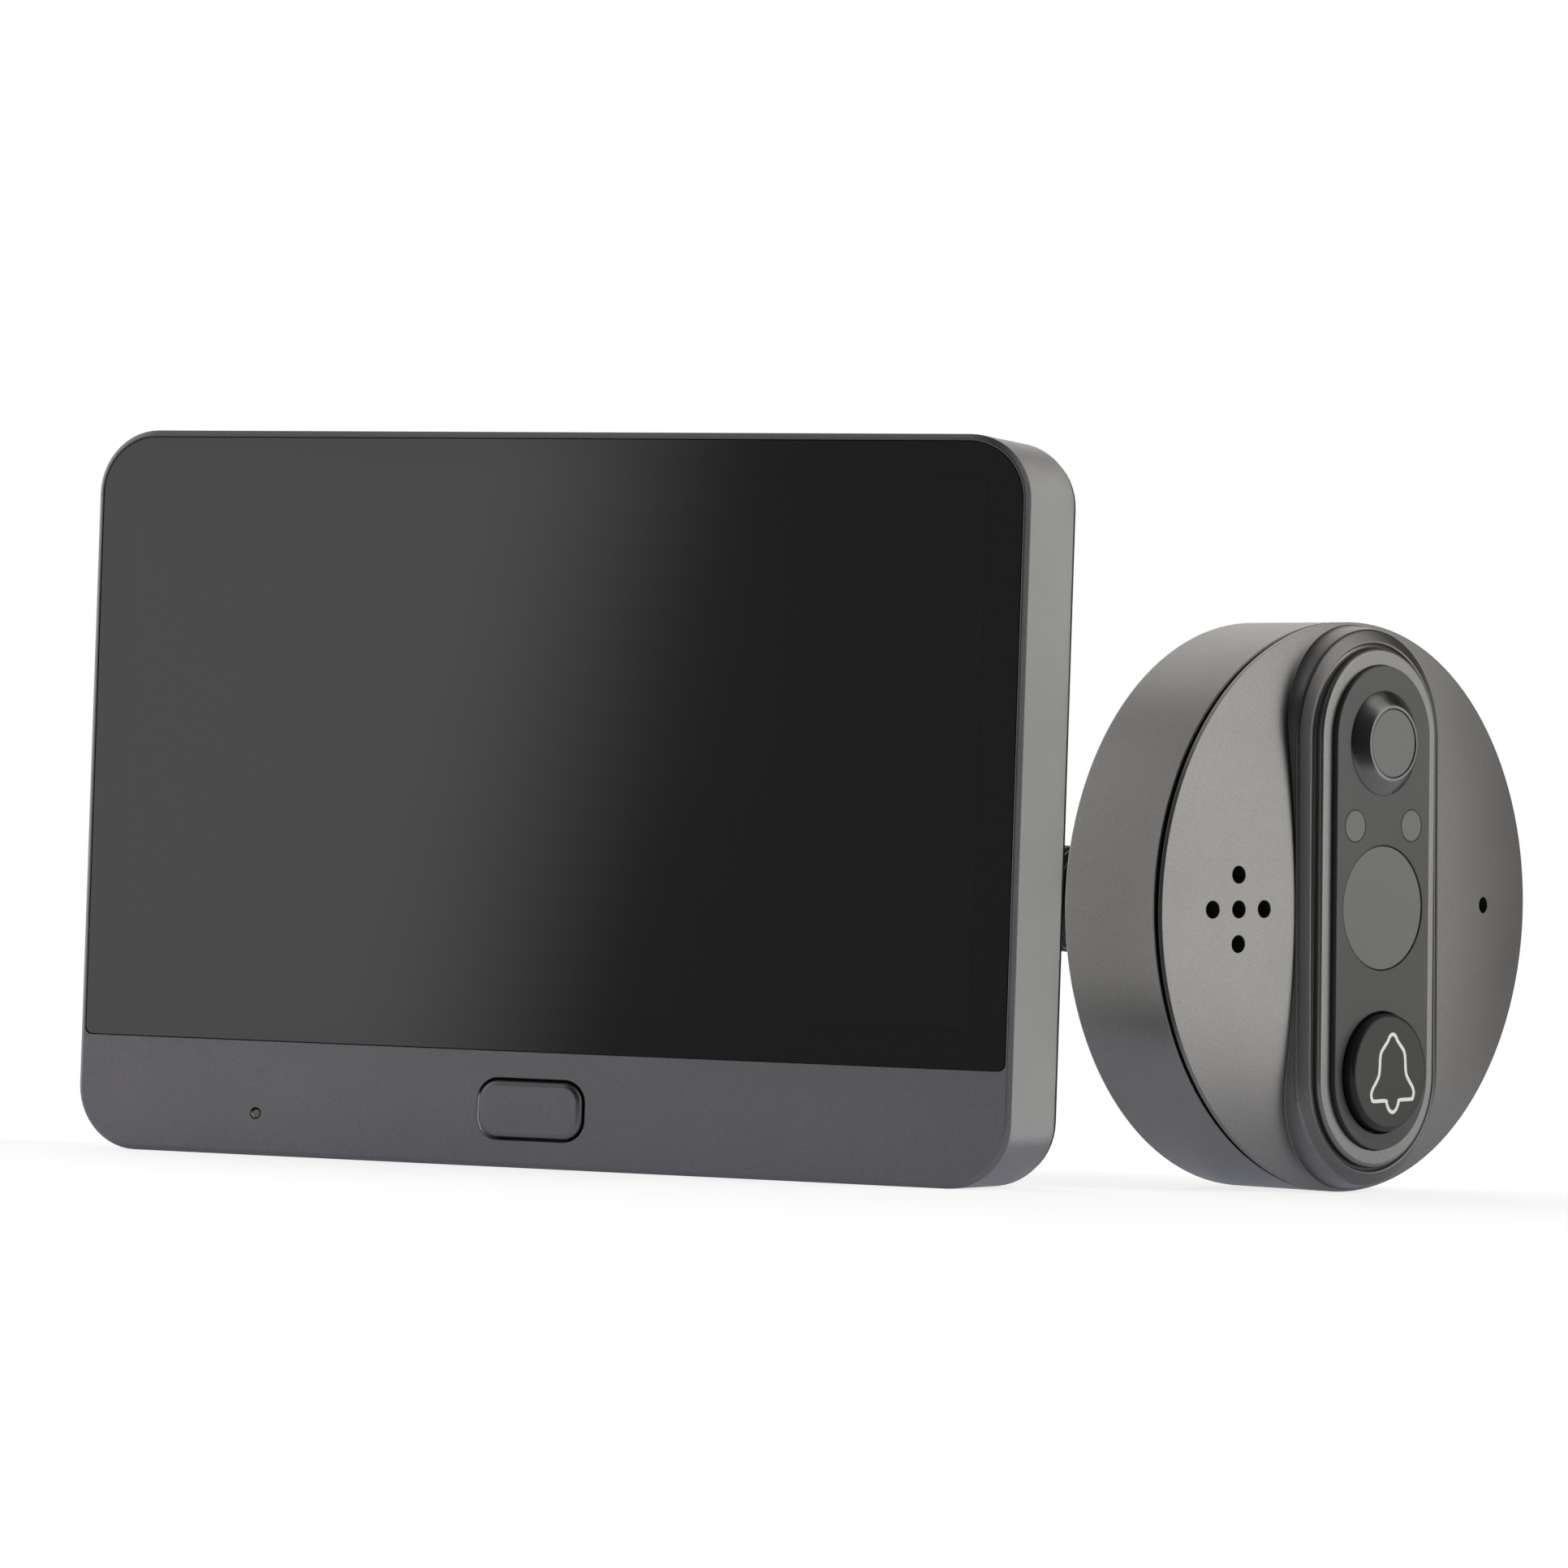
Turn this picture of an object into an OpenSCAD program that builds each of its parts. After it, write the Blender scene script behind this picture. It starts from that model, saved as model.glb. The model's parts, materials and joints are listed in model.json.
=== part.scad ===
// Peephole door camera: the indoor monitor on its door bracket, with the round outdoor unit that
// goes on the other face of the door set down beside it.
// The origin is on the peephole axis at the inner door face: X to the right, Y into the door, Z up.

/* [Monitor] */
// Width of the monitor
monitor_w = 110; // [106:1:124]
// Height of the monitor
monitor_h = 79.2; // [78:0.2:92]
// Depth of the monitor from its back face to its front face
monitor_d = 14.6; // [14.2:0.1:17]
// Corner radius of the monitor
corner_r = 7; // [5:0.5:8]
// Bevel on the front edge
edge_bevel = 0.5; // [0.3:0.1:0.6]
// Thickness of the side walls
wall = 1.6; // [1.4:0.1:2]
// Thickness of the front plate
front_t = 2; // [1.8:0.1:2.4]
// Width of the rim round the glass
rim_w = 0.8; // [0.7:0.1:1.2]
// Height of the plain strip under the glass
chin_h = 12.6; // [12:0.1:16]
// Gap between the back of the monitor and the door
door_gap = 0.6; // [0.4:0.1:0.9]
// Height of the back cover's edge that shows at the side
cover_edge = 1.3; // [1.2:0.1:1.6]
// How far the back cover's edge stands in from the frame
cover_step = 0.3; // [0.2:0.1:0.5]
// Side of the screw posts in the corners
post_side = 6.5; // [6:0.5:8]
// Distance of the cover screws from the outer edges
screw_inset = 5.2; // [5:0.1:5.6]

/* [Screen] */
// Thickness of the cover glass
glass_t = 1.1; // [0.9:0.1:1.3]
// Radius of the glass's lower corners
glass_low_r = 0.8; // [0.5:0.1:2]
// Width of the ledge that carries the glass
ledge_w = 1.5; // [1.2:0.1:2]
// Thickness of the display cell
lcd_t = 1.6; // [1.2:0.1:1.8]
// Thickness of the backlight behind it
backlight_t = 1.6; // [1.2:0.1:1.8]

/* [View button and light] */
// Width of the view button
button_w = 12.2; // [9:0.2:16]
// Height of the view button
button_h = 6.2; // [5:0.2:7]
// Corner radius of the view button
button_r = 2.2; // [1.5:0.1:2.4]
// How far the view button stands out of the front
button_proud = 0.5; // [0.3:0.1:0.8]
// Travel of the view button
button_travel = 0.4; // [0.2:0.05:0.5]
// Distance of the status light to the left of the view button
led_x = 33; // [30:0.5:38]
// How far the status light lies under the view button's centre line
led_drop = 1.7; // [0:0.1:2]
// Diameter of the hole for the status light
led_hole_d = 1.3; // [1:0.1:1.8]

/* [Door bracket] */
// Width of the bracket plate
bracket_w = 62; // [58:1:64]
// Height of the bracket plate
bracket_h = 46; // [42:1:48]
// Sheet thickness of the bracket
bracket_t = 1.2; // [1:0.1:1.5]
// Diameter of the peephole opening in the bracket
peephole_d = 16.6; // [16.4:0.1:20]
// Distance between the bracket's two screw holes
bracket_screw_pitch = 36; // [30:1:38]
// Diameter of the bracket's screw holes
bracket_screw_d = 3.8; // [3.4:0.1:4.5]
// Width of the hooks
hook_w = 6; // [5:0.5:7]
// Height of the hooks above their necks
hook_rise = 4; // [3:0.1:4.5]
// Distance of the hook necks above and below the peephole axis
hook_y = 14; // [12:0.5:15]

/* [Monitor inside] */
// Thickness of the battery
battery_t = 5.4; // [4.4:0.1:5.8]
// Height of the battery
battery_h = 46; // [36:1:48]
// Thickness of the main board
board_t = 1; // [0.8:0.1:1.2]
// Height of the loudspeaker box
speaker_h = 28; // [22:1:34]
// Thickness of the loudspeaker box
speaker_t = 4.6; // [4:0.1:6]

/* [Outdoor unit] */
// Diameter of the outdoor unit
unit_dia = 62; // [60:1:72]
// Height of the outdoor unit's plain wall
unit_wall_h = 13; // [12.6:0.2:16]
// Thickness of that wall
unit_wall_t = 2; // [1.8:0.1:2.4]
// Dark joint between the wall and the domed face
seam_gap = 0.6; // [0.4:0.1:0.8]
// Straight edge of the domed face
face_edge = 0.5; // [0.3:0.1:0.8]
// Rise of the domed face from its edge to its middle
dome_rise = 3; // [2.6:0.1:3.6]
// Thickness of the domed face
face_t = 1.8; // [1.6:0.1:2.2]
// Width of the sensor window
pill_w = 16; // [15.6:0.1:16.8]
// Plain margin between the ridge round the window and the unit's edge
pill_margin = 0.2; // [0.2:0.1:0.6]
// Height of the ridge round the window above the middle of the dome
ridge_rise = 1.3; // [1.2:0.1:1.8]
// Height of the sensor panel over the ridge
panel_proud = 0.6; // [0.4:0.1:0.8]
// Thickness of the sensor panel
panel_t = 1.5; // [1.3:0.1:1.8]
// Distance the unit stands to the right of the peephole axis
unit_x = 63.1; // [61:0.1:80]
// Distance the unit stands behind the inner door face
unit_y = 34; // [34:0.5:60]
// Turn of the unit away from the monitor's direction
unit_turn = 69; // [60:1:90]
// Turn of the unit about its own axis
unit_roll = 2; // [-5:0.5:5]

/* [Sensors and bell button] */
// Diameter of the lens hood at its foot
hood_d = 11.5; // [11:0.1:12.5]
// Diameter of the lens hood at its top
hood_top_d = 8.2; // [8:0.1:9]
// Height of the lens hood
hood_h = 1.4; // [1.2:0.1:2]
// Diameter of the camera lens window
lens_d = 7.4; // [7.2:0.1:7.6]
// Diameter of the two infrared windows
ir_d = 3.4; // [3:0.1:3.8]
// Distance of each infrared window from the middle line
ir_x = 4.8; // [4.6:0.1:5]
// Height of the infrared windows over the motion sensor
ir_y = 8.9; // [8.7:0.1:9.4]
// Diameter of the motion sensor's lens
pir_d = 13.4; // [12:0.1:13.6]
// Diameter of the bell button
bell_d = 12.8; // [11:0.1:13]
// How far the bell button stands out of the panel
bell_proud = 1.3; // [1:0.1:2]
// Travel of the bell button
bell_travel = 0.6; // [0.3:0.05:0.7]
// Distance of the loudspeaker holes from the middle
sound_x = 20.4; // [19.6:0.1:20.6]
// Pitch of the loudspeaker holes
sound_pitch = 3.7; // [3.2:0.1:3.9]
// Diameter of the loudspeaker holes
sound_d = 1.9; // [1.4:0.1:2.2]
// Distance of the microphone hole from the middle
mic_x = 21.9; // [21:0.1:22.2]
// Diameter of the microphone hole
mic_d = 1.8; // [1.2:0.1:2.2]

/* [Barrel through the door] */
// Diameter of the threaded barrel
barrel_d = 12; // [11:0.5:12]
// Length of the barrel behind the unit
barrel_l = 44; // [40:1:80]
// Diameter of the cable bore in the barrel
cable_d = 8.4; // [6:0.2:8.6]
// Diameter of the clamp nut's hub
nut_hub_d = 16; // [15:0.2:16]
// Length of the clamp nut's hub
nut_hub_l = 7; // [5:0.5:10]
// Diameter of the clamp nut's flange
nut_flange_d = 26; // [22:0.5:30]
// Thickness of the clamp nut's flange
nut_flange_t = 1.6; // [1.2:0.1:1.8]
// Distance of the clamp nut from the barrel's collar
nut_place = 4; // [1:1:10]
// Thickness of the washer that rides on the clamp nut's hub
washer_t = 1; // [0.6:0.1:1.5]
// Distance of the groove in the barrel's thread from its free end
groove_place = 27; // [20:1:27]

/* [Fits] */
// Gap round pieces that are set into one another
fit_gap = 0.1; // [0.05:0.01:0.15]
// Gap round the moving buttons
button_gap = 0.25; // [0.2:0.01:0.3]
// Gap over a button's flange
flange_gap = 0.15; // [0.1:0.01:0.2]
// Gap at the hooks
hook_gap = 0.3; // [0.2:0.05:0.4]
// Radial gap of a thread
thread_gap = 0.05; // [0.03:0.01:0.1]
// Gap round loose inner parts
inner_gap = 0.5; // [0.4:0.1:0.6]

/* [Hidden] */
$fn = 96;
cut = 1;
blend = 0.2;

// Levels of the monitor, counted from the door
back_z = door_gap;
seam_z = back_z + cover_edge;
front_z = back_z + monitor_d;
plate_z = front_z - front_t;
glass_z = front_z - glass_t;
lcd_z = glass_z - lcd_t;
light_z = lcd_z - backlight_t;
half_w = monitor_w / 2;
half_h = monitor_h / 2;

// Glass and window
glass_half_w = half_w - rim_w;
glass_low_y = -half_h + chin_h;
glass_top_y = half_h - rim_w;
lcd_gap = 0.3;

// Cover lip, pads, posts and screws
lip_h = 2;
lip_t = 1;
lip_gap = 0.15;
pad_h = 1.2;
pad_r = 2.8;
post_z0 = seam_z + pad_h;
post_z1 = light_z - inner_gap;
screw_x = half_w - screw_inset;
screw_y = half_h - screw_inset;
screw_r = 0.95;
screw_head_r = 1.8;
screw_head_h = 1.2;
screw_sink = 1.4;
screw_l = 6;
small_screw_r = 0.7;
small_head_r = 1.6;
small_head_h = 1;
small_screw_l = 3.5;
boss_r = 2;

// Pocket for the bracket
lift = hook_rise + 2 * hook_gap;
pocket_gap = 0.5;
pocket_wall = 1.2;
floor_t = 1.2;
nut_room = 0.6;
floor_z = bracket_t + nut_flange_t + nut_room;
floor_in_z = floor_z + floor_t;
pocket_half_w = bracket_w / 2 + pocket_gap;
pocket_top_y = bracket_h / 2 + pocket_gap;
pocket_low_y = -bracket_h / 2 - lift - pocket_gap;
pocket_r = 2;
bracket_r = 3;
hook_inset = 5;
hook_x = bracket_w / 2 - hook_inset;
hook_z = floor_in_z + hook_gap;
hook_top_z = hook_z + bracket_t;
hook_rest = 0.1;
slot_w = hook_w + 2 * hook_gap;
slot_low = bracket_t + lift + hook_gap;
slot_h = slot_low + hook_rest;

// Side bays between the pocket and the frame
pocket_out_x = pocket_half_w + pocket_wall;
lip_in = wall + lip_gap + lip_t;
bay_out_x = half_w - lip_in;
bay_x = (pocket_out_x + bay_out_x) / 2;

// Battery
battery_gap = 0.8;
battery_w = 2 * (hook_x - hook_w / 2 - battery_gap);
battery_r = 2.5;
battery_top_y = half_h - lip_in - inner_gap;

// Main board
board_z = hook_top_z + inner_gap;
board_x0 = pocket_out_x + inner_gap;
board_x1 = bay_out_x - inner_gap;
board_half_h = half_h - wall - post_side - inner_gap;
tongue_x1 = half_w - wall - post_side - inner_gap;
tongue_y = -half_h + wall + inner_gap;
foot_h = 8;
socket_x = 14;
socket_w = 9;
socket_h = 5;
socket_wall = 0.8;
socket_rise = 4;
socket_y = pocket_low_y + socket_rise;
foot_margin = 1;
foot_x0 = socket_x - socket_w / 2 - foot_margin;
foot_y0 = socket_y - foot_h / 2;
board_boss_in = 3;
board_hole_r = 1;
chip_side = 9;
chip_t = 1.1;
wifi_w = 12;
wifi_h = 15;
wifi_t = 2.2;
usb_x = (board_x0 + tongue_x1) / 2;
usb_w = 8.94;
usb_h = 3.26;
usb_l = 7.3;
usb_wall = 0.35;
usb_recess = 0.3;
usb_gap = 0.35;
usb_z = board_z + board_t + usb_h / 2;
tongue_t = 0.7;
tongue_w = 6.6;

// Loudspeaker of the monitor
grille_d = 1.4;
grille_pitch = 2.6;
grille_cols = 3;
grille_rows = 5;
speaker_gap = 2.2;
speaker_w = bay_out_x - pocket_out_x - 2 * speaker_gap;
cone_wall = 2;
cone_r = speaker_w / 2 - cone_wall;
cone_depth = 0.8;

// View button, its switch and the key board
button_y = -half_h + chin_h / 2;
button_edge = 0.4;
key_flange = 1;
key_flange_t = 0.8;
key_post_r = 1.6;
key_post_h = 0.5;
stem_spare = 0.2;
stem_proud = button_travel + 2 * stem_spare;
key_stem_r = 1;
key_stem_sunk = 0.5;
key_switch_w = 5.2;
key_switch_h = 1.5;
key_well = key_stem_sunk + button_travel + stem_spare;
stem_gap = 0.1;
flange_top_z = plate_z - flange_gap;
flange_z = flange_top_z - key_flange_t;
key_stem_z = flange_z - key_post_h;
key_switch_z = key_stem_z - stem_proud;
key_board_z = key_switch_z - key_switch_h;
key_board_h = 8;
key_board_over = 4.5;
key_boss_x = 11;
led_y = button_y - led_drop;
led_w = 1.8;
led_h = 1.2;
led_t = 0.7;
pipe_gap = 0.25;
pipe_r = led_hole_d / 2 - pipe_gap;
pipe_recess = 0.25;
pipe_flange_r = 1.6;
pipe_flange_t = 0.6;
pipe_foot_r = 0.8;

// Levels of the outdoor unit, counted from the outer door face
gasket_proud = 0.6;
unit_back_z = gasket_proud;
unit_front_z = unit_back_z + unit_wall_h;
face_z = unit_front_z + seam_gap;
dome_z = face_z + face_edge;
dome_top_z = dome_z + dome_rise;
ridge_z = dome_top_z + ridge_rise;
panel_z = ridge_z + panel_proud;
panel_back_z = panel_z - panel_t;
unit_r = unit_dia / 2;
unit_axis_z = unit_r - half_h;
dome_r = (unit_r * unit_r + dome_rise * dome_rise) / (2 * dome_rise);
dome_cz = dome_top_z - dome_r;
function dome_at(r) = dome_cz + sqrt(dome_r * dome_r - r * r);

// Housing, face and ridge
unit_back_t = 2;
unit_floor_z = unit_back_z + unit_back_t;
unit_in_r = unit_r - unit_wall_t;
back_edge = 0.5;
skirt_h = 3;
skirt_t = 1.4;
skirt_r = unit_in_r - fit_gap;
skirt_in_r = skirt_r - skirt_t;
ridge_w = 4.45;
ridge_foot = 3.9;
ridge_arc = 0.5;
ridge_step = 1.25;
ridge_flat = 1.4;
cove_arc = 0.4;
arc_steps = 6;
pill_r = pill_w / 2;
pill_h = unit_dia - 2 * (ridge_w + pill_margin);
pill_end = pill_h / 2 - pill_r;
end_step = 0.5;
end_y = pill_end - end_step;
panel_ledge = 0.6;
cavity_r = pill_r - panel_ledge;
unit_post_r = 2.6;
unit_post_at = 17;
unit_screw_sink = 1.2;
unit_screw_l = 9;
groove_in = 1;
gasket_w = 3;
gasket_t = 1.2;

// Bell button, its switch and the outdoor board
bell_r = bell_d / 2;
bell_edge = 0.6;
bell_flange_r = cavity_r - 0.3;
bell_flange_t = 0.8;
bell_post_r = 1.6;
bell_post_h = 1.1;
bell_stem_r = 1.7;
bell_stem_sunk = 1.2;
bell_stem_proud = bell_travel + 2 * stem_spare;
bell_switch_w = 6;
bell_switch_h = 3.5;
bell_well = bell_stem_sunk + bell_travel + 2 * stem_spare;
bell_flange_z = panel_back_z - flange_gap - bell_flange_t;
bell_stem_z = bell_flange_z - bell_post_h;
bell_switch_z = bell_stem_z - bell_stem_proud;
unit_board_z = bell_switch_z - bell_switch_h;
unit_board_t = 1.2;
unit_board_w = 21;
unit_board_h = 48;
unit_board_r = 5;
unit_boss_x = 8.7;
unit_boss_low = -9;
unit_boss_high = 13.3;
unit_boss_r = 1.9;

// Lens, infrared and motion sensor
spigot_r = 4.6;
spigot_l = 2;
lens_t = 0.8;
lens_recess = 0.1;
lens_lip = 0.5;
camera_side = 9.4;
camera_base_h = 3.6;
camera_barrel_r = 2.9;
camera_gap = 0.4;
ir_led_r = 1.5;
ir_led_rim = 0.3;
ir_led_rim_t = 1;
ir_led_l = 4.6;
pir_flange = 0.4;
pir_flange_t = 0.7;
pir_recess = 0.1;
pir_can_r = 4.6;
pir_can_rim = 0.3;
pir_can_rim_t = 0.6;
pir_can_h = 4.2;
pir_window_w = 4;
pir_window_h = 3;
pir_window_t = 0.3;

// Loudspeaker and microphone of the outdoor unit
unit_speaker_r = 6.8;
unit_speaker_t = 3.6;
unit_speaker_x = 19.8;
magnet_r = 4.2;
magnet_t = 1.4;
seat_w = 1.2;
seat_z = dome_at(unit_speaker_x + unit_speaker_r) - face_t - 0.4;
mic_r = 3;
mic_t = 2.2;
boot_r = 4;
boot_top = 0.7;
boot_hole_r = 1;
pad_z = dome_at(mic_x + boot_r) - face_t - 0.4;

// Barrel, collar and nut
barrel_r = barrel_d / 2;
barrel_boss_r = 9;
barrel_boss_h = 4;
collar_r = 8;
collar_t = 2;
nut_notch_w = 3;
nut_notch_depth = 2;
washer_in = 1;
groove_w = 1.5;
groove_depth = 0.5;
barrel_top_z = unit_floor_z + barrel_boss_h;
collar_z = unit_back_z - collar_t;
barrel_end_z = unit_back_z - barrel_l;
nut_z = collar_z - nut_place;
nut_end_z = nut_z - nut_hub_l - nut_flange_t;

// Stands a piece of the monitor, modelled face up, against the inner door face.
module hung() {
    rotate([90, 0, 0])
        children();
}

// Stands a piece of the outdoor unit, modelled face up, beside the monitor.
module beside() {
    translate([unit_x, unit_y, unit_axis_z])
        rotate([0, 0, unit_turn])
            rotate([90, 0, 0])
                rotate(unit_roll)
                    children();
}

module four(x, y) {
    for (i = [-1, 1], j = [-1, 1])
        translate([i * x, j * y, 0])
            children();
}

module rod(r, z0, z1) {
    translate([0, 0, z0])
        cylinder(r = r, h = z1 - z0);
}

module slab(z0, z1) {
    translate([0, 0, z0])
        linear_extrude(z1 - z0)
            children();
}

module rounded_rect(w, h, r) {
    square([w - 2 * r, h], center = true);
    square([w, h - 2 * r], center = true);
    four(w / 2 - r, h / 2 - r)
        circle(r = r);
}

module stadium(r, half_l) {
    square([2 * r, 2 * half_l], center = true);
    for (y = [-half_l, half_l])
        translate([0, y])
            circle(r = r);
}

module frame_outline(inset) {
    rounded_rect(monitor_w - 2 * inset, monitor_h - 2 * inset, corner_r - inset);
}

// Outline of the glass: wide corners above, tight ones at the strip under it.
module glass_outline(inset) {
    x = glass_half_w - inset;
    y0 = glass_low_y + inset;
    y1 = glass_top_y - inset;
    top_r = corner_r - rim_w - inset;
    translate([-x, y0 + glass_low_r])
        square([2 * x, y1 - y0 - glass_low_r - top_r]);
    translate([-x + top_r, y0])
        square([2 * (x - top_r), y1 - y0]);
    for (i = [-1, 1]) {
        translate([i * (x - glass_low_r), y0 + glass_low_r])
            circle(r = glass_low_r);
        translate([i * (x - top_r), y1 - top_r])
            circle(r = top_r);
        translate([min(i * (x - glass_low_r), i * (x - top_r) - i * blend), y0])
            square([top_r - glass_low_r + blend, 2 * glass_low_r]);
    }
}

// A block whose edge has one profile all round a core rectangle.
module moulded_block(core_w, core_h, profile, z0, z1) {
    for (i = [0:3])
        rotate(90 * i)
            translate(i % 2 == 0 ? [core_w / 2, core_h / 2] : [core_h / 2, core_w / 2])
                rotate_extrude(angle = 90)
                    polygon(profile);
    for (a = [0, 180])
        rotate(a)
            translate([core_w / 2, core_h / 2])
                rotate([90, 0, 0])
                    linear_extrude(core_h)
                        polygon(profile);
    if (core_w > 0) {
        for (a = [90, 270])
            rotate(a)
                translate([core_h / 2, core_w / 2])
                    rotate([90, 0, 0])
                        linear_extrude(core_w)
                            polygon(profile);
        translate([-core_w / 2, -core_h / 2, z0])
            cube([core_w, core_h, z1 - z0]);
    }
}

// A screw with its head at z = 0 and its shank pointing up.
module screw(r, l, head_r, head_h) {
    rod(head_r, -head_h, 0);
    rod(r, -blend, l);
}

module corner_posts() {
    slab(post_z0, post_z1)
        intersection() {
            frame_outline(wall / 2);
            four(half_w - (wall + post_side) / 2, half_h - (wall + post_side) / 2)
                square(wall + post_side, center = true);
        }
}

module key_bosses() {
    for (x = [-led_x + key_boss_x, key_boss_x])
        translate([x, button_y, 0])
            difference() {
                rod(boss_r, key_board_z, plate_z + blend);
                rod(small_screw_r + thread_gap, key_board_z - cut, key_board_z + small_screw_l);
            }
}

module front_frame() {
    edge = [
        [0, seam_z], [corner_r, seam_z], [corner_r, front_z - edge_bevel],
        [corner_r - edge_bevel, front_z], [0, front_z]
    ];
    color([0.3, 0.3, 0.31])
        hung() {
            difference() {
                moulded_block(monitor_w - 2 * corner_r, monitor_h - 2 * corner_r, edge, seam_z, front_z);
                slab(seam_z - cut, plate_z)
                    frame_outline(wall);
                slab(glass_z, front_z + cut)
                    glass_outline(-fit_gap);
                slab(plate_z - cut, glass_z + cut)
                    glass_outline(ledge_w);
                translate([0, button_y, 0])
                    slab(plate_z - cut, front_z + cut)
                        rounded_rect(button_w + 2 * button_gap, button_h + 2 * button_gap, button_r + button_gap);
                translate([-led_x, led_y, 0])
                    rod(led_hole_d / 2, plate_z - cut, front_z + cut);
                translate([usb_x, -half_h + wall / 2, usb_z])
                    rotate([90, 0, 0])
                        slab(-wall, wall)
                            rotate(90)
                                stadium(usb_h / 2 + usb_gap, (usb_w - usb_h) / 2);
            }
            difference() {
                corner_posts();
                four(screw_x, screw_y)
                    rod(screw_r + thread_gap, post_z0 - cut, post_z0 + screw_l);
            }
            key_bosses();
        }
}

module screen_glass() {
    color([0.05, 0.05, 0.06])
        hung()
            slab(glass_z, front_z)
                glass_outline(0);
}

module lcd_panel() {
    color([0.12, 0.12, 0.14])
        hung()
            slab(lcd_z, glass_z)
                glass_outline(ledge_w + lcd_gap);
}

module backlight() {
    color([0.75, 0.75, 0.76])
        hung()
            slab(light_z, lcd_z)
                glass_outline(ledge_w + 2 * lcd_gap);
}

module view_button() {
    edge = [
        [0, flange_z], [button_r, flange_z], [button_r, front_z + button_proud - button_edge],
        [button_r - button_edge, front_z + button_proud], [0, front_z + button_proud]
    ];
    color([0.28, 0.28, 0.29])
        hung()
            translate([0, button_y, 0]) {
                moulded_block(button_w - 2 * button_r, button_h - 2 * button_r, edge, flange_z,
                              front_z + button_proud);
                slab(flange_z, flange_top_z)
                    rounded_rect(button_w + 2 * key_flange, button_h + 2 * key_flange, button_r + key_flange);
                rod(key_post_r, key_stem_z, flange_z + blend);
            }
}

module view_stem() {
    color([0.1, 0.1, 0.1])
        hung()
            translate([0, button_y, 0])
                rod(key_stem_r, key_switch_z - key_stem_sunk, key_stem_z);
}

module view_switch() {
    color([0.7, 0.7, 0.68])
        hung()
            translate([0, button_y, 0])
                difference() {
                    slab(key_board_z, key_switch_z)
                        square(key_switch_w, center = true);
                    rod(key_stem_r + stem_gap, key_switch_z - key_well, key_switch_z + cut);
                }
}

module key_board() {
    color([0.1, 0.3, 0.16])
        hung()
            difference() {
                translate([-led_x - key_board_over, button_y - key_board_h / 2, key_board_z - board_t])
                    cube([led_x + key_boss_x + 2 * key_board_over, key_board_h, board_t]);
                for (x = [-led_x + key_boss_x, key_boss_x])
                    translate([x, button_y, 0])
                        rod(board_hole_r, key_board_z - board_t - cut, key_board_z + cut);
            }
}

module key_board_screws() {
    color([0.7, 0.7, 0.72])
        hung()
            for (x = [-led_x + key_boss_x, key_boss_x])
                translate([x, button_y, key_board_z - board_t])
                    screw(small_screw_r, small_screw_l, small_head_r, small_head_h);
}

module status_led() {
    color([0.9, 0.85, 0.6])
        hung()
            translate([-led_x - led_w / 2, led_y - led_h / 2, key_board_z])
                cube([led_w, led_h, led_t]);
}

module light_pipe() {
    color([0.85, 0.83, 0.7])
        hung()
            translate([-led_x, led_y, 0]) {
                rod(pipe_r, plate_z - blend, front_z - pipe_recess);
                rod(pipe_flange_r, plate_z - pipe_flange_t, plate_z);
                rod(pipe_foot_r, key_board_z + led_t, plate_z - blend);
            }
}

module cover_lip() {
    difference() {
        slab(seam_z - blend, seam_z + lip_h)
            difference() {
                frame_outline(wall + lip_gap);
                frame_outline(lip_in);
            }
        slab(seam_z - cut, seam_z + lip_h + cut)
            four(half_w - (wall + post_side) / 2, half_h - (wall + post_side) / 2)
                square(wall + post_side + 2 * inner_gap, center = true);
    }
}

module board_bosses() {
    for (p = board_screw_points())
        translate([p[0], p[1], 0])
            rod(boss_r, seam_z - blend, board_z);
}

function board_screw_points() = [
    [board_x0 + board_boss_in, board_half_h - board_boss_in],
    [board_x1 - board_boss_in, board_half_h - board_boss_in],
    [board_x1 - board_boss_in, -board_half_h + board_boss_in]
];

module pocket(grow, z0, z1) {
    w = 2 * (pocket_half_w + grow);
    h = pocket_top_y - pocket_low_y + 2 * grow;
    translate([0, (pocket_top_y + pocket_low_y) / 2, 0])
        slab(z0, z1)
            rounded_rect(w, h, pocket_r + grow);
}

module back_cover() {
    color([0.13, 0.13, 0.14])
        hung()
            difference() {
                union() {
                    slab(back_z, seam_z)
                        frame_outline(cover_step);
                    cover_lip();
                    pocket(pocket_wall, back_z, floor_in_z);
                    four(screw_x, screw_y)
                        rod(pad_r, seam_z - blend, post_z0);
                    board_bosses();
                }
                pocket(0, back_z - cut, floor_z);
                four(screw_x, screw_y) {
                    rod(screw_head_r + fit_gap, back_z - cut, back_z + screw_sink);
                    rod(screw_r + fit_gap, back_z, post_z0 + cut);
                }
                for (p = board_screw_points())
                    translate([p[0], p[1], 0])
                        rod(small_screw_r + thread_gap, board_z - small_screw_l, board_z + cut);
                for (x = [-hook_x, hook_x], y = [-hook_y, hook_y])
                    translate([x - slot_w / 2, y - slot_low, floor_z - cut])
                        cube([slot_w, slot_h, floor_t + 2 * cut]);
                translate([socket_x, socket_y, floor_z - cut])
                    slab(0, floor_t + 2 * cut)
                        square([socket_w + 2 * fit_gap, socket_h + 2 * fit_gap], center = true);
                for (i = [0:grille_cols - 1], j = [0:grille_rows - 1])
                    translate([
                        -bay_x + (i - (grille_cols - 1) / 2) * grille_pitch,
                        (j - (grille_rows - 1) / 2) * grille_pitch, 0
                    ])
                        rod(grille_d / 2, back_z - cut, seam_z + cut);
            }
}

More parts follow.
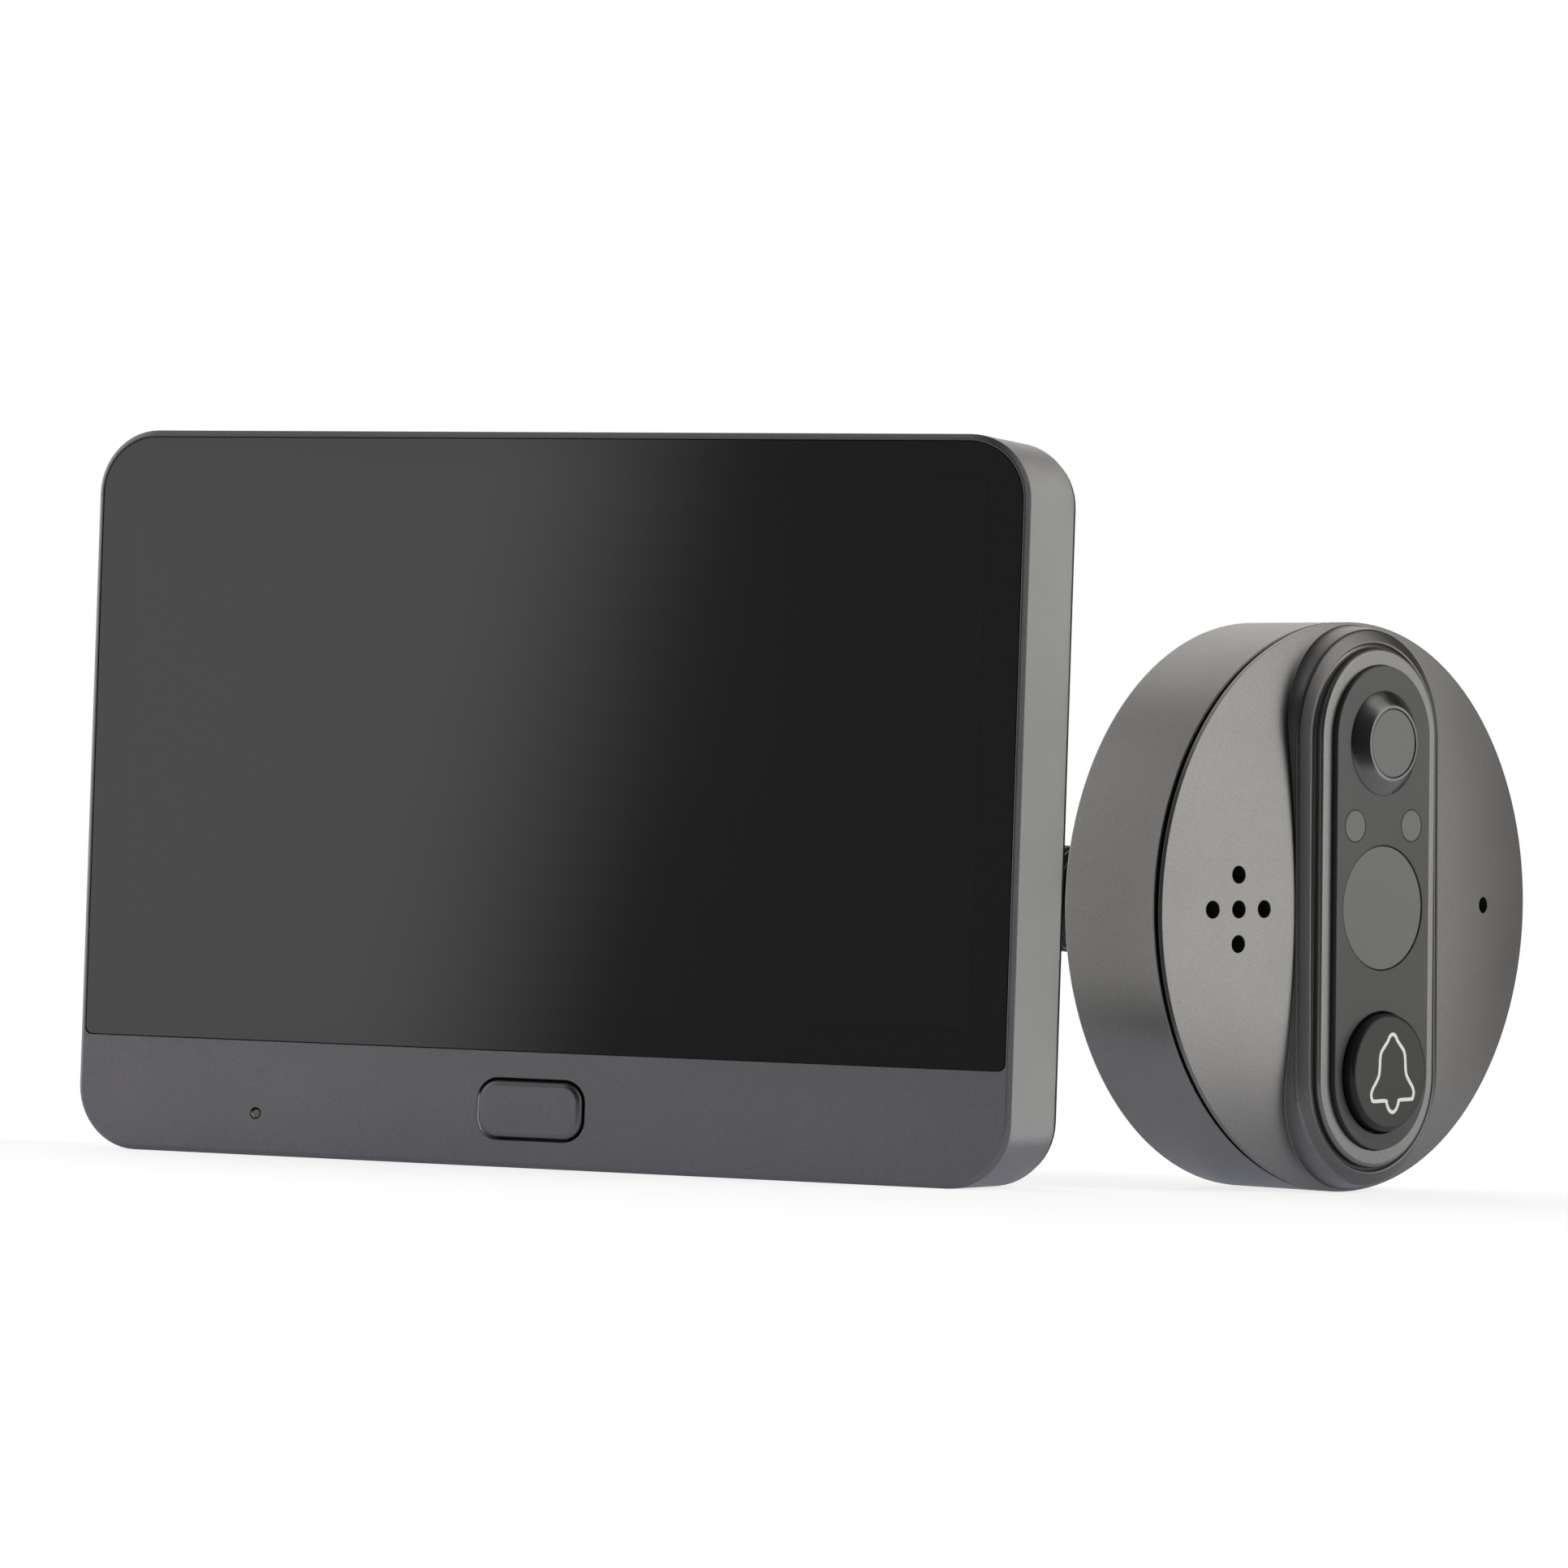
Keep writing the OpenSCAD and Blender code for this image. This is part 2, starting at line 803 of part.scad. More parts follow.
module cover_screws() {
    color([0.2, 0.2, 0.21])
        hung()
            four(screw_x, screw_y)
                translate([0, 0, back_z + screw_sink])
                    screw(screw_r, screw_l, screw_head_r, screw_head_h);
}

module battery() {
    color([0.2, 0.32, 0.55])
        hung()
            translate([0, battery_top_y - battery_h / 2, 0])
                slab(floor_in_z, floor_in_z + battery_t)
                    rounded_rect(battery_w, battery_h, battery_r);
}

module main_board() {
    color([0.08, 0.28, 0.15])
        hung() {
            difference() {
                slab(board_z, board_z + board_t) {
                    translate([board_x0, -board_half_h])
                        square([board_x1 - board_x0, 2 * board_half_h]);
                    translate([board_x0, tongue_y])
                        square([tongue_x1 - board_x0, board_half_h]);
                    translate([foot_x0, foot_y0])
                        square([board_x0 - foot_x0 + blend, foot_h]);
                }
                for (p = board_screw_points())
                    translate([p[0], p[1], 0])
                        rod(board_hole_r, board_z - cut, board_z + board_t + cut);
            }
            translate([(board_x0 + board_x1) / 2, 0, 0])
                slab(board_z + board_t - blend, board_z + board_t + chip_t)
                    square(chip_side, center = true);
        }
}

module main_board_screws() {
    color([0.7, 0.7, 0.72])
        hung()
            for (p = board_screw_points())
                translate([p[0], p[1], board_z + board_t])
                    rotate([180, 0, 0])
                        screw(small_screw_r, small_screw_l, small_head_r, small_head_h);
}

module wifi_module() {
    color([0.72, 0.72, 0.7])
        hung()
            translate([(board_x0 + board_x1) / 2, board_half_h / 2, 0])
                slab(board_z + board_t, board_z + board_t + wifi_t)
                    square([wifi_w, wifi_h], center = true);
}

module usb_socket() {
    color([0.75, 0.75, 0.77])
        hung()
            translate([usb_x, -half_h + usb_recess, usb_z])
                rotate([90, 0, 0]) {
                    difference() {
                        slab(-usb_l, 0)
                            rotate(90)
                                stadium(usb_h / 2, (usb_w - usb_h) / 2);
                        slab(-usb_l + usb_wall, cut)
                            rotate(90)
                                stadium(usb_h / 2 - usb_wall, (usb_w - usb_h) / 2);
                    }
                    translate([-tongue_w / 2, -tongue_t / 2, -usb_l + usb_wall / 2])
                        cube([tongue_w, tongue_t, usb_l - 2 * usb_wall]);
                }
}

module cable_socket() {
    mouth_z = floor_z + socket_wall / 2;
    color([0.85, 0.84, 0.8])
        hung()
            translate([socket_x, socket_y, 0])
                difference() {
                    slab(mouth_z, board_z)
                        square([socket_w, socket_h], center = true);
                    slab(mouth_z - cut, board_z - socket_wall)
                        square([socket_w - 2 * socket_wall, socket_h - 2 * socket_wall], center = true);
                }
}

module monitor_speaker() {
    color([0.15, 0.15, 0.16])
        hung()
            translate([-bay_x, 0, 0])
                difference() {
                    slab(seam_z, seam_z + speaker_t)
                        square([speaker_w, speaker_h], center = true);
                    rod(cone_r, seam_z - cut, seam_z + cone_depth);
                }
}

// The hooks rise behind the pocket floor, so the monitor is lifted to come off.
module door_bracket() {
    color([0.7, 0.71, 0.73])
        hung() {
            difference() {
                slab(0, bracket_t)
                    rounded_rect(bracket_w, bracket_h, bracket_r);
                rod(peephole_d / 2, -cut, bracket_t + cut);
                for (x = [-1, 1])
                    translate([x * bracket_screw_pitch / 2, 0, 0])
                        rod(bracket_screw_d / 2, -cut, bracket_t + cut);
            }
            for (x = [-hook_x, hook_x], y = [-hook_y, hook_y])
                translate([x - hook_w / 2, y - bracket_t, 0]) {
                    cube([hook_w, bracket_t, hook_top_z]);
                    translate([0, 0, hook_z])
                        cube([hook_w, bracket_t + hook_rise, bracket_t]);
                }
        }
}

module outdoor_housing() {
    color([0.36, 0.35, 0.35])
        beside()
            difference() {
                union() {
                    rotate_extrude()
                        polygon([
                            [0, unit_back_z], [unit_r - back_edge, unit_back_z],
                            [unit_r, unit_back_z + back_edge], [unit_r, unit_front_z],
                            [unit_in_r, unit_front_z], [unit_in_r, unit_floor_z], [0, unit_floor_z]
                        ]);
                    rod(barrel_boss_r, unit_floor_z - blend, barrel_top_z);
                }
                rod(barrel_r + thread_gap, unit_back_z - cut, barrel_top_z + cut);
                difference() {
                    rod(unit_r - groove_in, unit_back_z - cut, gasket_t);
                    rod(unit_r - groove_in - gasket_w, unit_back_z - 2 * cut, gasket_t + cut);
                }
                four(unit_post_at, unit_post_at) {
                    rod(screw_r + fit_gap, unit_back_z - cut, unit_floor_z + cut);
                    rod(screw_head_r + fit_gap, unit_back_z - cut, unit_back_z + unit_screw_sink);
                }
            }
}

function arc(cx, cz, r, a0, a1) = [
    for (i = [0:arc_steps])
        let (a = a0 + (a1 - a0) * i / arc_steps) [cx + r * cos(a), cz + r * sin(a)]
];

// Section of the stepped ridge round the sensor window, from its foot up to its flat rim.
function ridge_profile() = concat(
    [[0, face_z], [pill_r + ridge_w, face_z]],
    arc(pill_r + ridge_foot - ridge_arc, ridge_z - ridge_step - ridge_arc, ridge_arc, 0, 90),
    arc(pill_r + ridge_flat + 2 * cove_arc, ridge_z - ridge_step + cove_arc, cove_arc, 270, 180),
    arc(pill_r + ridge_flat, ridge_z - cove_arc, cove_arc, 0, 90),
    [[0, ridge_z]]
);

module face_posts() {
    four(unit_post_at, unit_post_at)
        difference() {
            rod(unit_post_r, unit_floor_z, dome_at(unit_post_at * sqrt(2) + unit_post_r) - face_t / 2);
            rod(screw_r + thread_gap, unit_floor_z - cut, unit_floor_z + unit_screw_l);
        }
    for (x = [-unit_boss_x, unit_boss_x], y = [unit_boss_low, unit_boss_high])
        translate([x, y, 0])
            difference() {
                rod(unit_boss_r, unit_board_z, dome_at(norm([x, y])) - face_t / 2);
                rod(small_screw_r + thread_gap, unit_board_z - cut, unit_board_z + small_screw_l);
            }
}

module sound_seats() {
    translate([-unit_speaker_x, 0, 0])
        difference() {
            rod(unit_speaker_r, seat_z, dome_at(unit_speaker_x + unit_speaker_r) - blend);
            rod(unit_speaker_r - seat_w, seat_z - cut, dome_z + dome_rise);
        }
    translate([mic_x, 0, 0])
        rod(boot_r, pad_z, dome_at(mic_x + boot_r) - blend);
}

module sound_holes() {
    for (p = [[0, 0], [1, 0], [-1, 0], [0, 1], [0, -1]])
        translate([-sound_x + p[0] * sound_pitch, p[1] * sound_pitch, 0])
            rod(sound_d / 2, seat_z, ridge_z);
    translate([mic_x, 0, 0])
        rod(mic_d / 2, pad_z - cut, ridge_z);
}

module face_shell() {
    difference() {
        union() {
            intersection() {
                rod(unit_r, face_z, ridge_z);
                translate([0, 0, dome_cz])
                    sphere(r = dome_r);
            }
            moulded_block(0, 2 * pill_end, ridge_profile(), face_z, ridge_z);
            rod(skirt_r, unit_front_z - skirt_h, face_z + blend);
        }
        intersection() {
            rod(skirt_in_r, unit_front_z - skirt_h - cut, ridge_z);
            translate([0, 0, dome_cz])
                sphere(r = dome_r - face_t);
        }
        slab(face_z, panel_back_z + cut)
            stadium(cavity_r, pill_end);
        slab(panel_back_z, ridge_z + cut)
            stadium(pill_r, pill_end);
    }
}

module outdoor_face() {
    color([0.38, 0.37, 0.36])
        beside()
            difference() {
                union() {
                    face_shell();
                    face_posts();
                    sound_seats();
                }
                sound_holes();
            }
}

module sensor_panel() {
    color([0.3, 0.3, 0.3])
        beside()
            difference() {
                slab(panel_back_z, panel_z)
                    stadium(pill_r - fit_gap, pill_end);
                translate([0, end_y, 0])
                    rod(spigot_r + fit_gap, panel_back_z - cut, panel_z + cut);
                for (x = [-ir_x, ir_x])
                    translate([x, ir_y, 0])
                        rod(ir_d / 2 + thread_gap, panel_back_z - cut, panel_z + cut);
                rod(pir_d / 2 + fit_gap, panel_back_z - cut, panel_z + cut);
                translate([0, -end_y, 0])
                    rod(bell_r + button_gap, panel_back_z - cut, panel_z + cut);
            }
}

module lens_hood() {
    hood_z = panel_z + hood_h;
    seat = lens_d / 2 + thread_gap;
    color([0.34, 0.34, 0.34])
        beside()
            translate([0, end_y, 0])
                rotate_extrude()
                    polygon([
                        [seat - lens_lip, panel_z - spigot_l], [spigot_r, panel_z - spigot_l], [spigot_r, panel_z],
                        [hood_d / 2, panel_z], [hood_top_d / 2, hood_z], [seat, hood_z],
                        [seat, hood_z - lens_recess - lens_t], [seat - lens_lip, hood_z - lens_recess - lens_t]
                    ]);
}

module lens_window() {
    lens_z = panel_z + hood_h - lens_recess;
    color([0.1, 0.1, 0.12])
        beside()
            translate([0, end_y, 0])
                rod(lens_d / 2, lens_z - lens_t, lens_z);
}

module camera_module() {
    color([0.1, 0.1, 0.1])
        beside()
            translate([0, end_y, 0]) {
                slab(unit_board_z, unit_board_z + camera_base_h)
                    square(camera_side, center = true);
                rod(camera_barrel_r, unit_board_z + camera_base_h - blend,
                    panel_z + hood_h - lens_recess - lens_t - camera_gap);
            }
}

module ir_windows() {
    color([0.45, 0.44, 0.43])
        beside()
            for (x = [-ir_x, ir_x])
                translate([x, ir_y, 0])
                    rod(ir_d / 2, panel_back_z, panel_z);
}

module ir_leds() {
    color([0.5, 0.5, 0.6])
        beside()
            for (x = [-ir_x, ir_x])
                translate([x, ir_y, unit_board_z]) {
                    rod(ir_led_r + ir_led_rim, 0, ir_led_rim_t);
                    rod(ir_led_r, 0, ir_led_l - ir_led_r);
                    translate([0, 0, ir_led_l - ir_led_r])
                        difference() {
                            sphere(r = ir_led_r);
                            rod(2 * ir_led_r, -2 * ir_led_r, 0);
                        }
                }
}

module pir_lens() {
    color([0.46, 0.46, 0.45])
        beside() {
            rod(pir_d / 2, panel_back_z, panel_z - pir_recess);
            rod(pir_d / 2 + pir_flange, panel_back_z - pir_flange_t, panel_back_z);
        }
}

module pir_sensor() {
    color([0.75, 0.74, 0.7])
        beside()
            difference() {
                union() {
                    rod(pir_can_r, unit_board_z, unit_board_z + pir_can_h);
                    rod(pir_can_r + pir_can_rim, unit_board_z, unit_board_z + pir_can_rim_t);
                }
                translate([0, 0, unit_board_z + pir_can_h - pir_window_t])
                    slab(0, cut)
                        square([pir_window_w, pir_window_h], center = true);
            }
}

module bell_button() {
    top = panel_z + bell_proud;
    color([0.26, 0.26, 0.26])
        beside()
            translate([0, -end_y, 0])
                rotate_extrude()
                    polygon(concat(
                        [
                            [0, bell_stem_z], [bell_post_r, bell_stem_z], [bell_post_r, bell_flange_z],
                            [bell_flange_r, bell_flange_z], [bell_flange_r, bell_flange_z + bell_flange_t],
                            [bell_r, bell_flange_z + bell_flange_t]
                        ],
                        arc(bell_r - bell_edge, top - bell_edge, bell_edge, 0, 90),
                        [[0, top]]
                    ));
}

module bell_stem() {
    color([0.1, 0.1, 0.1])
        beside()
            translate([0, -end_y, 0])
                rod(bell_stem_r, bell_switch_z - bell_stem_sunk, bell_stem_z);
}

module bell_switch() {
    color([0.7, 0.7, 0.68])
        beside()
            translate([0, -end_y, 0])
                difference() {
                    slab(unit_board_z, bell_switch_z)
                        square(bell_switch_w, center = true);
                    rod(bell_stem_r + stem_gap, bell_switch_z - bell_well, bell_switch_z + cut);
                }
}

module outdoor_board() {
    color([0.08, 0.28, 0.15])
        beside()
            difference() {
                slab(unit_board_z - unit_board_t, unit_board_z)
                    rounded_rect(unit_board_w, unit_board_h, unit_board_r);
                for (x = [-unit_boss_x, unit_boss_x], y = [unit_boss_low, unit_boss_high])
                    translate([x, y, 0])
                        rod(board_hole_r, unit_board_z - unit_board_t - cut, unit_board_z + cut);
            }
}

module outdoor_board_screws() {
    color([0.7, 0.7, 0.72])
        beside()
            for (x = [-unit_boss_x, unit_boss_x], y = [unit_boss_low, unit_boss_high])
                translate([x, y, unit_board_z - unit_board_t])
                    screw(small_screw_r, small_screw_l, small_head_r, small_head_h);
}

module outdoor_speaker() {
    color([0.2, 0.2, 0.21])
        beside()
            translate([-unit_speaker_x, 0, 0]) {
                rod(unit_speaker_r, seat_z - unit_speaker_t + magnet_t, seat_z);
                rod(magnet_r, seat_z - unit_speaker_t, seat_z - unit_speaker_t + magnet_t + blend);
            }
}

module microphone() {
    color([0.7, 0.7, 0.7])
        beside()
            translate([mic_x, 0, 0])
                rod(mic_r, pad_z - boot_top - mic_t, pad_z - boot_top);
}

module microphone_boot() {
    color([0.08, 0.08, 0.08])
        beside()
            translate([mic_x, 0, 0])
                difference() {
                    rod(boot_r, pad_z - boot_top - mic_t, pad_z);
                    rod(mic_r + thread_gap, pad_z - boot_top - mic_t - cut, pad_z - boot_top);
                    rod(boot_hole_r, pad_z - boot_top - cut, pad_z + cut);
                }
}

module housing_screws() {
    color([0.2, 0.2, 0.21])
        beside()
            four(unit_post_at, unit_post_at)
                translate([0, 0, unit_back_z + unit_screw_sink])
                    screw(screw_r, unit_screw_l, screw_head_r, screw_head_h - fit_gap);
}

module door_gasket() {
    color([0.06, 0.06, 0.06])
        beside()
            difference() {
                rod(unit_r - groove_in - fit_gap, 0, gasket_t);
                rod(unit_r - groove_in - gasket_w + fit_gap, -cut, gasket_t + cut);
            }
}

module threaded_barrel() {
    groove_z = barrel_end_z + groove_place;
    color([0.2, 0.2, 0.21])
        beside()
            difference() {
                union() {
                    rod(barrel_r, barrel_end_z, groove_z);
                    rod(barrel_r - groove_depth, groove_z - blend, groove_z + groove_w + blend);
                    rod(barrel_r, groove_z + groove_w, barrel_top_z);
                    translate([0, 0, collar_z])
                        cylinder(r = collar_r, h = collar_t, $fn = 6);
                }
                rod(cable_d / 2, barrel_end_z - cut, barrel_top_z + cut);
            }
}

module clamp_nut() {
    color([0.72, 0.6, 0.34])
        beside()
            difference() {
                union() {
                    rod(nut_hub_d / 2, nut_z - nut_hub_l - blend, nut_z);
                    rod(nut_flange_d / 2, nut_end_z, nut_end_z + nut_flange_t);
                }
                rod(barrel_r + thread_gap, nut_end_z - cut, nut_z + cut);
                for (a = [0, 90, 180, 270])
                    rotate(a)
                        translate([nut_flange_d / 2 - nut_notch_depth, -nut_notch_w / 2, nut_end_z - cut])
                            cube([nut_flange_d, nut_notch_w, nut_flange_t + 2 * cut]);
            }
}

module clamp_washer() {
    washer_z = nut_end_z + nut_flange_t;
    color([0.1, 0.1, 0.1])
        beside()
            difference() {
                rod(nut_flange_d / 2 - washer_in, washer_z, washer_z + washer_t);
                rod(nut_hub_d / 2 + thread_gap, washer_z - cut, washer_z + washer_t + cut);
            }
}

front_frame();
screen_glass();
lcd_panel();
backlight();
view_button();
view_stem();
view_switch();
key_board();
key_board_screws();
status_led();
light_pipe();
back_cover();
cover_screws();
battery();
main_board();
main_board_screws();
wifi_module();
usb_socket();
cable_socket();
monitor_speaker();
door_bracket();
outdoor_housing();
outdoor_face();
sensor_panel();
lens_hood();
lens_window();
camera_module();
ir_windows();
ir_leds();
pir_lens();
pir_sensor();
bell_button();
bell_stem();
bell_switch();
outdoor_board();
outdoor_board_screws();
outdoor_speaker();
microphone();
microphone_boot();
housing_screws();
door_gasket();
threaded_barrel();
clamp_nut();
clamp_washer();
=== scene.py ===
import json
import math

import bmesh
import bpy
from mathutils import Matrix, Vector


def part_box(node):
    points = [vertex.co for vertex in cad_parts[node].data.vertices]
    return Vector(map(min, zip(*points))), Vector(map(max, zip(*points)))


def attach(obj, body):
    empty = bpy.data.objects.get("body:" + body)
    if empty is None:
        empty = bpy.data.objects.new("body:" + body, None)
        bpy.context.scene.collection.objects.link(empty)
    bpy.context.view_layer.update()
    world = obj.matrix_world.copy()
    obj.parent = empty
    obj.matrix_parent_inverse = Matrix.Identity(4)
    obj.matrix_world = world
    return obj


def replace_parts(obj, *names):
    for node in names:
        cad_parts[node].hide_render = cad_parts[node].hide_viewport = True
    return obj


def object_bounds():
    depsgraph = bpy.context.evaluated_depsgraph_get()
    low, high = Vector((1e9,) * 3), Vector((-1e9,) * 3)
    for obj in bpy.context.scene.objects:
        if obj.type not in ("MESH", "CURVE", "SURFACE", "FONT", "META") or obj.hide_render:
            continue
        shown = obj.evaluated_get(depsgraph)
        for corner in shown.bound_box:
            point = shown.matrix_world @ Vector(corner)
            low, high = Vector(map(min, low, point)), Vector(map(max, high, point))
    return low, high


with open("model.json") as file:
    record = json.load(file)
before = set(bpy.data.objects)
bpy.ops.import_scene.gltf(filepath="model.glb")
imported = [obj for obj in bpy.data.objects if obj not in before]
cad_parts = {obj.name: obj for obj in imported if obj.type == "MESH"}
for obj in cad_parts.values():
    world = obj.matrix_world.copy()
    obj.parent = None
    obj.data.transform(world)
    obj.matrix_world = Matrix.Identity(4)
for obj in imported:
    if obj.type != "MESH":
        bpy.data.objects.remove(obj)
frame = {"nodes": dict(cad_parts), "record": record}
cadNodes = frame["nodes"]
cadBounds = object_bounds()
print("frame loaded:", len(cadNodes), "nodes")

mm = 0.001


# small helpers for node trees
def feed(tree, node, inputs):
    for key, value in inputs.items():
        if isinstance(value, bpy.types.NodeSocket):
            tree.links.new(value, node.inputs[key])
        else:
            node.inputs[key].default_value = value


def addNode(tree, kind, inputs=None, **attributes):
    node = tree.nodes.new(kind)
    for key, value in attributes.items():
        setattr(node, key, value)
    feed(tree, node, inputs or {})
    return node


def mathNode(tree, operation, first, second=0.0):
    return addNode(tree, "ShaderNodeMath", {0: first, 1: second}, operation=operation).outputs[0]


def product(tree, first, second):
    return mathNode(tree, "MULTIPLY", first, second)


def splitPoint(tree, point):
    return addNode(tree, "ShaderNodeSeparateXYZ", {0: point}).outputs


def joinPoint(tree, **axes):
    return addNode(tree, "ShaderNodeCombineXYZ", axes).outputs[0]


def objectPoint(tree):
    return addNode(tree, "ShaderNodeTexCoord").outputs["Object"]


def grain(tree, point, scale, detail=2.0, roughness=0.55):
    noise = {"Vector": point, "Scale": scale, "Detail": detail, "Roughness": roughness}
    return addNode(tree, "ShaderNodeTexNoise", noise).outputs["Fac"]


def ramp(tree, value, low, high, fromLow=0.3, fromHigh=0.7, shape="LINEAR"):
    span = {"Value": value, "From Min": fromLow, "From Max": fromHigh, "To Min": low, "To Max": high}
    return addNode(tree, "ShaderNodeMapRange", span, interpolation_type=shape).outputs[0]


def blended(tree, factor, first, second):
    mix = addNode(tree, "ShaderNodeMix", {"Factor": factor, "A": first, "B": second}, data_type="RGBA")
    return mix.outputs["Result"]


def scaled(colour, factor):
    return tuple(channel * factor for channel in colour)


def opaque(colour, factor=1.0):
    return (*scaled(colour, factor), 1)


def grey(level):
    return (level, level, level, 1)


# small helpers for finishes
edgeSamples = 6
fleckSpan = (0.28, 0.72)  # part of the noise that the fleck uses


def startMaterial(name):
    material = bpy.data.materials.new(name)
    material.use_nodes = True
    tree = material.node_tree
    return material, tree, tree.nodes["Principled BSDF"]


def dress(mesh, finish):
    mesh.materials.clear()
    mesh.materials.append(finish)


def relief(tree, height, look):
    soft = addNode(tree, "ShaderNodeBevel", {"Radius": look["edge"]}, samples=edgeSamples)
    return addNode(tree, "ShaderNodeBump", {
        "Height": height, "Strength": look["relief"], "Distance": look["reliefDepth"],
        "Normal": soft.outputs["Normal"]}).outputs["Normal"]


def varied(tree, value, look):
    return ramp(tree, value, look["roughness"] - look["glossVary"], look["roughness"] + look["glossVary"])


# a sprayed finish: fleck in the colour, grain in the gloss, fine orange peel in the relief
def sprayed(name, look):
    material, tree, shader = startMaterial(name)
    fine = grain(tree, objectPoint(tree), look["fleckScale"], detail=2.0, roughness=0.6)
    broad = grain(tree, objectPoint(tree), look["cloudScale"], detail=3.0)
    fleck = ramp(tree, fine, 0.0, 1.0, *fleckSpan)
    dark, light = opaque(look["colour"], 1 - look["fleck"]), opaque(look["colour"], 1 + look["fleck"])
    feed(tree, shader, {
        "Base Color": blended(tree, fleck, dark, light), "Roughness": varied(tree, broad, look),
        "Metallic": look["metallic"], "Normal": relief(tree, fine, look)})
    return material


lacquerLook = {
    "colour": (0.272, 0.266, 0.26), "fleck": 0.14, "fleckScale": 6200, "cloudScale": 90, "roughness": 0.34,
    "glossVary": 0.02, "metallic": 0.92, "relief": 0.35, "reliefDepth": 0.00003, "edge": 0.00012}
frameLook = dict(lacquerLook, colour=(0.241, 0.23, 0.237))
coverLook = {
    "colour": (0.02, 0.02, 0.021), "fleck": 0.25, "fleckScale": 2600, "cloudScale": 60, "roughness": 0.55,
    "glossVary": 0.05, "metallic": 0.0, "relief": 0.5, "reliefDepth": 0.00006, "edge": 0.00012}
panelLook = dict(
    coverLook, colour=(0.117, 0.117, 0.114), fleck=0.08, roughness=0.42, relief=0.15, fleckScale=5200)
discLook = dict(panelLook, colour=(0.262, 0.261, 0.254), fleck=0.05, roughness=0.4, relief=0.08)
hoodLook = dict(panelLook, colour=(0.2, 0.198, 0.193), roughness=0.3, metallic=1.0, fleck=0.05, relief=0.06)
bellLook = dict(panelLook, colour=(0.03, 0.03, 0.029), roughness=0.34, fleck=0.06, relief=0.1)
rubberLook = dict(coverLook, colour=(0.014, 0.014, 0.014), roughness=0.75, fleckScale=1800)
mouldLook = dict(coverLook, colour=(0.03, 0.03, 0.031), roughness=0.5)
ivoryLook = dict(coverLook, colour=(0.62, 0.6, 0.52), fleck=0.04, roughness=0.45, relief=0.1)
whiteLook = dict(ivoryLook, colour=(0.7, 0.7, 0.7))
maskLook = dict(
    coverLook, colour=(0.02, 0.13, 0.055), fleck=0.12, roughness=0.38, relief=0.15, fleckScale=900)
foilLook = dict(
    coverLook, colour=(0.5, 0.51, 0.53), fleck=0.06, roughness=0.36, metallic=0.8, fleckScale=700, relief=0.4)


# bare, plated or blackened metal: drawn lines along one axis and a little wear
def metal(name, look):
    material, tree, shader = startMaterial(name)
    stretch = addNode(tree, "ShaderNodeMapping", {"Vector": objectPoint(tree), "Scale": look["drawn"]})
    lines = grain(tree, stretch.outputs["Vector"], look["lineScale"], detail=3.0, roughness=0.6)
    wear = ramp(tree, grain(tree, objectPoint(tree), look["wearScale"], detail=4.0), 0.0, 1.0)
    colour = blended(tree, wear, opaque(look["colour"], 1 - look["wear"]), opaque(look["colour"]))
    feed(tree, shader, {
        "Base Color": colour, "Roughness": varied(tree, lines, look), "Metallic": 1.0,
        "Normal": relief(tree, lines, look)})
    return material


steelLook = {
    "colour": (0.56, 0.57, 0.58), "drawn": (1, 1, 14), "lineScale": 420, "wear": 0.14, "wearScale": 140,
    "roughness": 0.34, "glossVary": 0.07, "relief": 0.2, "reliefDepth": 0.00002, "edge": 0.0001}
platedLook = dict(steelLook, colour=(0.66, 0.65, 0.62), drawn=(1, 1, 1), roughness=0.27, relief=0.08)
blackenedLook = dict(steelLook, colour=(0.05, 0.05, 0.052), drawn=(1, 1, 1), roughness=0.36, relief=0.1)
brassLook = dict(
    steelLook, colour=(0.63, 0.45, 0.2), drawn=(1, 1, 1), lineScale=900, roughness=0.28, relief=0.12)


# black-backed cover glass; the display's edge shows as a faint line, border and line width in mm
screenLook = {
    "backing": (0.0294, 0.0286, 0.0262), "window": (0.0308, 0.03, 0.0274), "line": (0.0262, 0.0256, 0.0236),
    "border": 2.2, "lineWidth": 0.22, "roughness": 0.035, "smear": 0.02, "smearScale": 38, "ior": 1.52}


def pastWindow(tree, place, low, high):
    half = (high - low) / 2 - screenLook["border"] * mm
    away = mathNode(tree, "ABSOLUTE", mathNode(tree, "SUBTRACT", place, (low + high) / 2))
    return mathNode(tree, "SUBTRACT", away, half)


def coverGlass(name):
    material, tree, shader = startMaterial(name)
    low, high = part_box("lcd_panel")
    axes = splitPoint(tree, objectPoint(tree))
    pastSide = pastWindow(tree, axes["X"], low.x, high.x)
    pastEnd = pastWindow(tree, axes["Z"], low.z, high.z)
    outside = mathNode(tree, "MAXIMUM", pastSide, pastEnd)
    inWindow = mathNode(tree, "LESS_THAN", outside, 0.0)
    halfLine = screenLook["lineWidth"] * mm / 2
    onLine = mathNode(tree, "LESS_THAN", mathNode(tree, "ABSOLUTE", outside), halfLine)
    area = blended(tree, inWindow, opaque(screenLook["backing"]), opaque(screenLook["window"]))
    smear = grain(tree, objectPoint(tree), screenLook["smearScale"], detail=4.0)
    rough = screenLook["roughness"]
    feed(tree, shader, {
        "Base Color": blended(tree, onLine, area, opaque(screenLook["line"])),
        "Roughness": ramp(tree, smear, rough, rough + screenLook["smear"]), "IOR": screenLook["ior"]})
    return material


